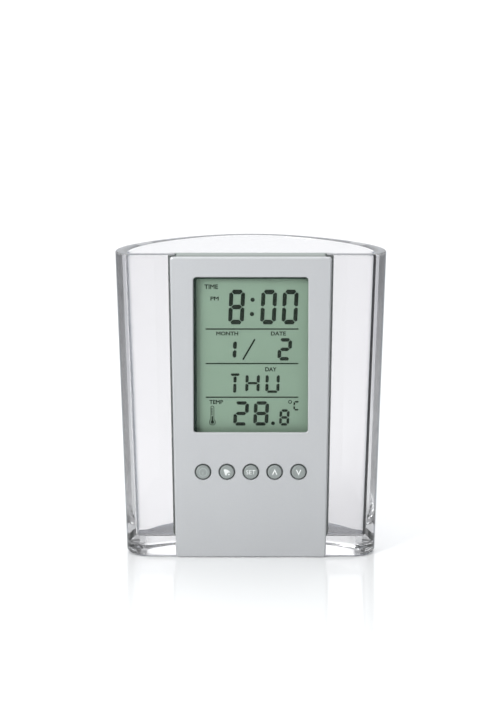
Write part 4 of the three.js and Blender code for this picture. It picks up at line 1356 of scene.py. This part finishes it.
@dataclass
class Keys:
    """The five round keys and the white signs printed on them; signs are drawn from a key's centre, mm."""

    row: float = 33.2
    pitch: float = 8.87
    face: float = -19.35
    ink: float = 0.02
    sunk: float = 0.005  # how far the ink sits in the key
    names: tuple[str, ...] = ("mode", "alarm", "set", "up", "down")
    dial: Point = (1.6, 1.35)  # outer and inner radius
    hand: tuple[Point, ...] = ((-0.05, -0.85), (-0.05, 0.15))
    hand_thick: float = 0.3
    bell: tuple[Point, ...] = (
        (-1.25, 1.05), (-0.6, 1.2), (0.35, 0.95), (1.15, 0.2), (1.35, -0.15),
        (0.75, 0.0), (0.05, -0.6), (-0.2, -1.35), (-0.65, -1.0), (-0.95, -0.1),
    )
    clapper: Point = (0.72, -0.85)
    clapper_radius: float = 0.33
    word_half: Point = (1.75, 0.85)  # half width and half height of the word on the set key
    arrow: tuple[Point, ...] = ((-0.8, -0.95), (0.0, 0.85), (0.8, -0.95))
    arrow_thick: float = 0.42

    def at(self, name: str, points: Sequence[Point]) -> Outline:
        """Moves points that are given from a key's centre to that key."""
        x = (self.names.index(name) - (len(self.names) - 1) / 2) * self.pitch
        return [(x + u, self.row + v) for u, v in points]

    def signs(self) -> dict[str, Form]:
        """Draws each key's sign.

        Returns:
            A bmesh for each key, under its name.
        """
        deep = (self.face - self.ink, self.face + self.sunk)
        middle = {name: self.at(name, [(0.0, 0.0)])[0] for name in self.names}
        dial = [disc(middle["mode"], radius, steps=40) for radius in self.dial]
        hand = stroke(self.at("mode", self.hand), self.hand_thick)
        clapper = disc(self.at("alarm", [self.clapper])[0], self.clapper_radius, steps=20)
        (x, z), (wide, high) = middle["set"], self.word_half
        word = Caption("SET", x - wide, x + wide, z - high, z + high, bold=0.0)
        arrows = {
            name: stroke(self.at(name, [(u, way * v) for u, v in self.arrow]), self.arrow_thick)
            for name, way in (("up", 1), ("down", -1))
        }
        return {
            "mode": band(plates([hand], *deep), *dial, *deep),
            "alarm": plates([self.at("alarm", self.bell), clapper], *deep),
            "set": word.add_to(bmesh.new(), *deep),
            **{name: plates([outline], *deep) for name, outline in arrows.items()},
        }

    def build(self) -> None:
        """Dresses the keys and prints their signs."""
        SHOP.keys.dress_nodes(*(f"key_{name}" for name in self.names))
        SHOP.carbon.dress_nodes(*(f"key_pill_{name}" for name in self.names))
        SHOP.mat.dress_nodes("key_mat")
        for name, form in self.signs().items():
            ink = SHOP.print_worn if name == "mode" else SHOP.print_white
            finish_piece(f"key_sign_{name}", form, ink, f"{name}_key")


# Case, electronics and power


@dataclass
class ClockWorks:
    """The clock's case, board, sounder and cells, and the screws, contact layers and pads in them."""

    layer: float = 0.3  # thickness of a carbon layer
    layer_proud: float = 0.01  # how far it stands out of the silicone
    pad: Point = (0.45, 0.04)  # width and thickness of a board pad
    pad_longer: float = 0.3  # board pads beyond the silicone
    key_pad: Place = (0.4, 0.04, 3.0)
    key_pads: int = 5
    key_pad_pitch: float = 0.7
    case_screw: Place = (1.9, 0.9, 0.9)  # radius of the head, its depth, radius over the thread
    board_screw: Place = (1.5, 0.7, 0.7)

    def build(self) -> None:
        """Dresses every node of the clock that isn't part of the display or the keys, and adds the rest."""
        SHOP.silver.dress_nodes("front_bezel")
        SHOP.case.dress_nodes("rear_shell", "battery_door")
        SHOP.board.dress_nodes("circuit_board")
        SHOP.epoxy.dress_nodes("driver_chip", "temperature_sensor")
        SHOP.brass.dress_nodes("buzzer_disc")
        SHOP.black_vinyl.dress_nodes("buzzer_wire_left", "battery_wire_negative")
        SHOP.red_vinyl.dress_nodes("buzzer_wire_right", "battery_wire_positive")
        SHOP.can.dress_nodes("button_cell_left", "button_cell_right")
        SHOP.tin.dress_nodes("clock_crystal", "battery_link")
        SHOP.tin.dress_nodes("battery_contact_negative", "battery_contact_positive")
        self.screws("case_screw", self.case_screw)
        self.screws("board_screw", self.board_screw)
        self.contacts()

    def contacts(self) -> None:
        """Lays the carbon layers of the silicone contact and the gold pads of the board."""
        low, high = self.box("contact_strip")
        middle = (low + high) / 2
        board = self.box("circuit_board")[0].y
        deep, tall = (high[axis] - low[axis] + 2 * self.layer_proud for axis in (1, 2))
        layer, pad = (self.layer, deep, tall), (*self.pad, tall + self.pad_longer)
        centres = [sum(self.box(f"key_pill_{name}"), Vector()) / 2 for name in Keys.names]
        under = [(p.x, board, p.z) for p in centres]
        BarRows("strip_layers", SHOP.carbon, "contact_rubber", [middle], bar=layer).build()
        BarRows("board_pads", SHOP.gold, "plated_steel", [(middle.x, board, middle.z)], bar=pad).build()
        places = {"places": under, "count": self.key_pads, "pitch": self.key_pad_pitch}
        BarRows("key_pads", SHOP.gold, "plated_steel", **places, bar=self.key_pad).build()

    def box(self, node: str) -> list[Vector]:
        """Lowest and highest corner of a CAD node in the frame, mm."""
        return [Vector(corner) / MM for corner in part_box(node)]

    def screws(self, node: str, size: Place) -> None:
        """Puts four detailed screws, as one piece, where the plain ones are.

        Args:
            node: What the four plain screws' names start with.
            size: Radius of the head, its depth and the radius over the thread, mm.
        """
        nodes = [f"{node}_{number}" for number in range(1, 5)]
        boxes = [self.box(each) for each in nodes]
        places = [((low.x + high.x) / 2, high.y - size[1], (low.z + high.z) / 2) for low, high in boxes]
        long = places[0][1] - boxes[0][0].y
        Screws(f"{node}s", SHOP.zinc, "screw_steel", places, nodes, *size, long).build()


# Studio


@dataclass
class Lamp:
    """A square soft light that faces the object."""

    name: str
    place: Place  # m
    size: float  # length of its sides, m
    power: float  # W
    aim: Place = (0.0, 0.0, 0.06)

    def build(self) -> None:
        """Hangs the light."""
        light = bpy.data.lights.new(self.name, "AREA")
        light.size = self.size
        light.energy = self.power
        lamp = bpy.data.objects.new(self.name, light)
        bpy.context.scene.collection.objects.link(lamp)
        turn = (Vector(self.aim) - Vector(self.place)).to_track_quat("-Z", "Y").to_matrix().to_4x4()
        lamp.matrix_world = Matrix.Translation(self.place) @ turn
        lamp.visible_camera = False


@dataclass
class Studio:
    """Pale glossy floor, soft light and the camera."""

    floor_radii: Point = (2600.0, 400.0)  # of its edge and of the face in its middle, mm
    floor_drop: float = 0.2  # under the cup's base, so that the two never share a plane
    eye: Place = (-0.0003, -1.46885, 0.4488)  # m
    pitch: float = 14.45  # how far the camera looks down, degrees
    focal_px: float = 4061.0
    picture: tuple[int, int] = (500, 725)
    bounces: int = 64  # light runs far along the clear walls before it comes out
    sheet_bounces: int = 32
    lamps: tuple[Lamp, ...] = (
        Lamp("key_light", (-0.32, -0.34, 0.36), 0.18, 1.85),
        Lamp("top_light", (0.1, 0.35, 1.5), 1.4, 6.5),
    )
    dome: str = "#FCFDFF"
    dome_front: float = 0.22
    dome_back: float = 1.5
    dome_side: float = 0.55
    dome_top: float = 1.0
    back_span: Point = (-0.2, 0.75)  # directions between which the dome passes to the level behind
    top_span: Point = (0.45, 0.9)
    side_span: Point = (0.45, 0.85)

    def floor(self) -> None:
        """Lays a round pale floor with a soft mirror gloss."""
        rounds = [disc((0.0, 0.0), radius, steps=96) for radius in self.floor_radii]
        form = bmesh.new()
        skin(form, [[Vector((*p, -self.floor_drop)) for p in side] for side in rounds], Ends.LAST_CAPPED)
        floor = new_object("studio_floor", to_mesh("studio_floor", form))
        AcrylicFloor().dress(floor)

    def world(self) -> None:
        """Surrounds the object with a dome: bright behind it, dim at both sides, soft above and in front."""
        world = bpy.data.worlds.new("studio_dome")
        bpy.context.scene.world = world
        world.use_nodes = True
        world.node_tree.nodes.clear()
        add = partial(add_node, world.node_tree)
        way = add("ShaderNodeTexCoord").outputs["Generated"]
        parts = add("ShaderNodeSeparateXYZ", (way,)).outputs
        side = add("ShaderNodeMath", (parts[0],), operation="ABSOLUTE")
        level: float | Node = self.dome_front
        for along, span, last in (
            (parts[1], self.back_span, self.dome_back),
            (parts[2], self.top_span, self.dome_top),
            (side, self.side_span, self.dome_side),
        ):
            share = add("ShaderNodeMapRange", (along, *span), interpolation_type="SMOOTHSTEP")
            level = add("ShaderNodeMix", {0: share, 2: level, 3: last}, data_type="FLOAT")
        glow = add("ShaderNodeBackground", (linear(self.dome), level))
        add("ShaderNodeOutputWorld", {"Surface": glow})

    def camera(self) -> None:
        """Sets the camera at the photograph's distance and height."""
        data = bpy.data.cameras.new("camera")
        data.sensor_width = 36.0
        data.lens = self.focal_px * data.sensor_width / max(self.picture)
        data.clip_end = 50.0
        camera = bpy.data.objects.new("camera", data)
        bpy.context.scene.collection.objects.link(camera)
        camera.location = self.eye
        camera.rotation_euler = (math.radians(90.0 - self.pitch), 0.0, 0.0)
        bpy.context.scene.camera = camera

    def build(self) -> None:
        """Sets the floor, the light and the camera."""
        self.floor()
        self.world()
        for lamp in self.lamps:
            lamp.build()
        self.camera()
        scene = bpy.context.scene
        scene.view_settings.view_transform = "Standard"
        scene.cycles.transparent_max_bounces = self.sheet_bounces
        scene.cycles.max_bounces = self.bounces
        scene.cycles.transmission_bounces = self.bounces
        scene.cycles.glossy_bounces = self.bounces


def main() -> None:
    """Builds the studio and every sub-assembly in order."""
    logging.basicConfig(level=logging.INFO, format="%(name)s: %(message)s")
    Studio().build()
    ClearCup().build()
    ClockWorks().build()
    Display().build()
    Keys().build()


if __name__ == "__main__":
    main()
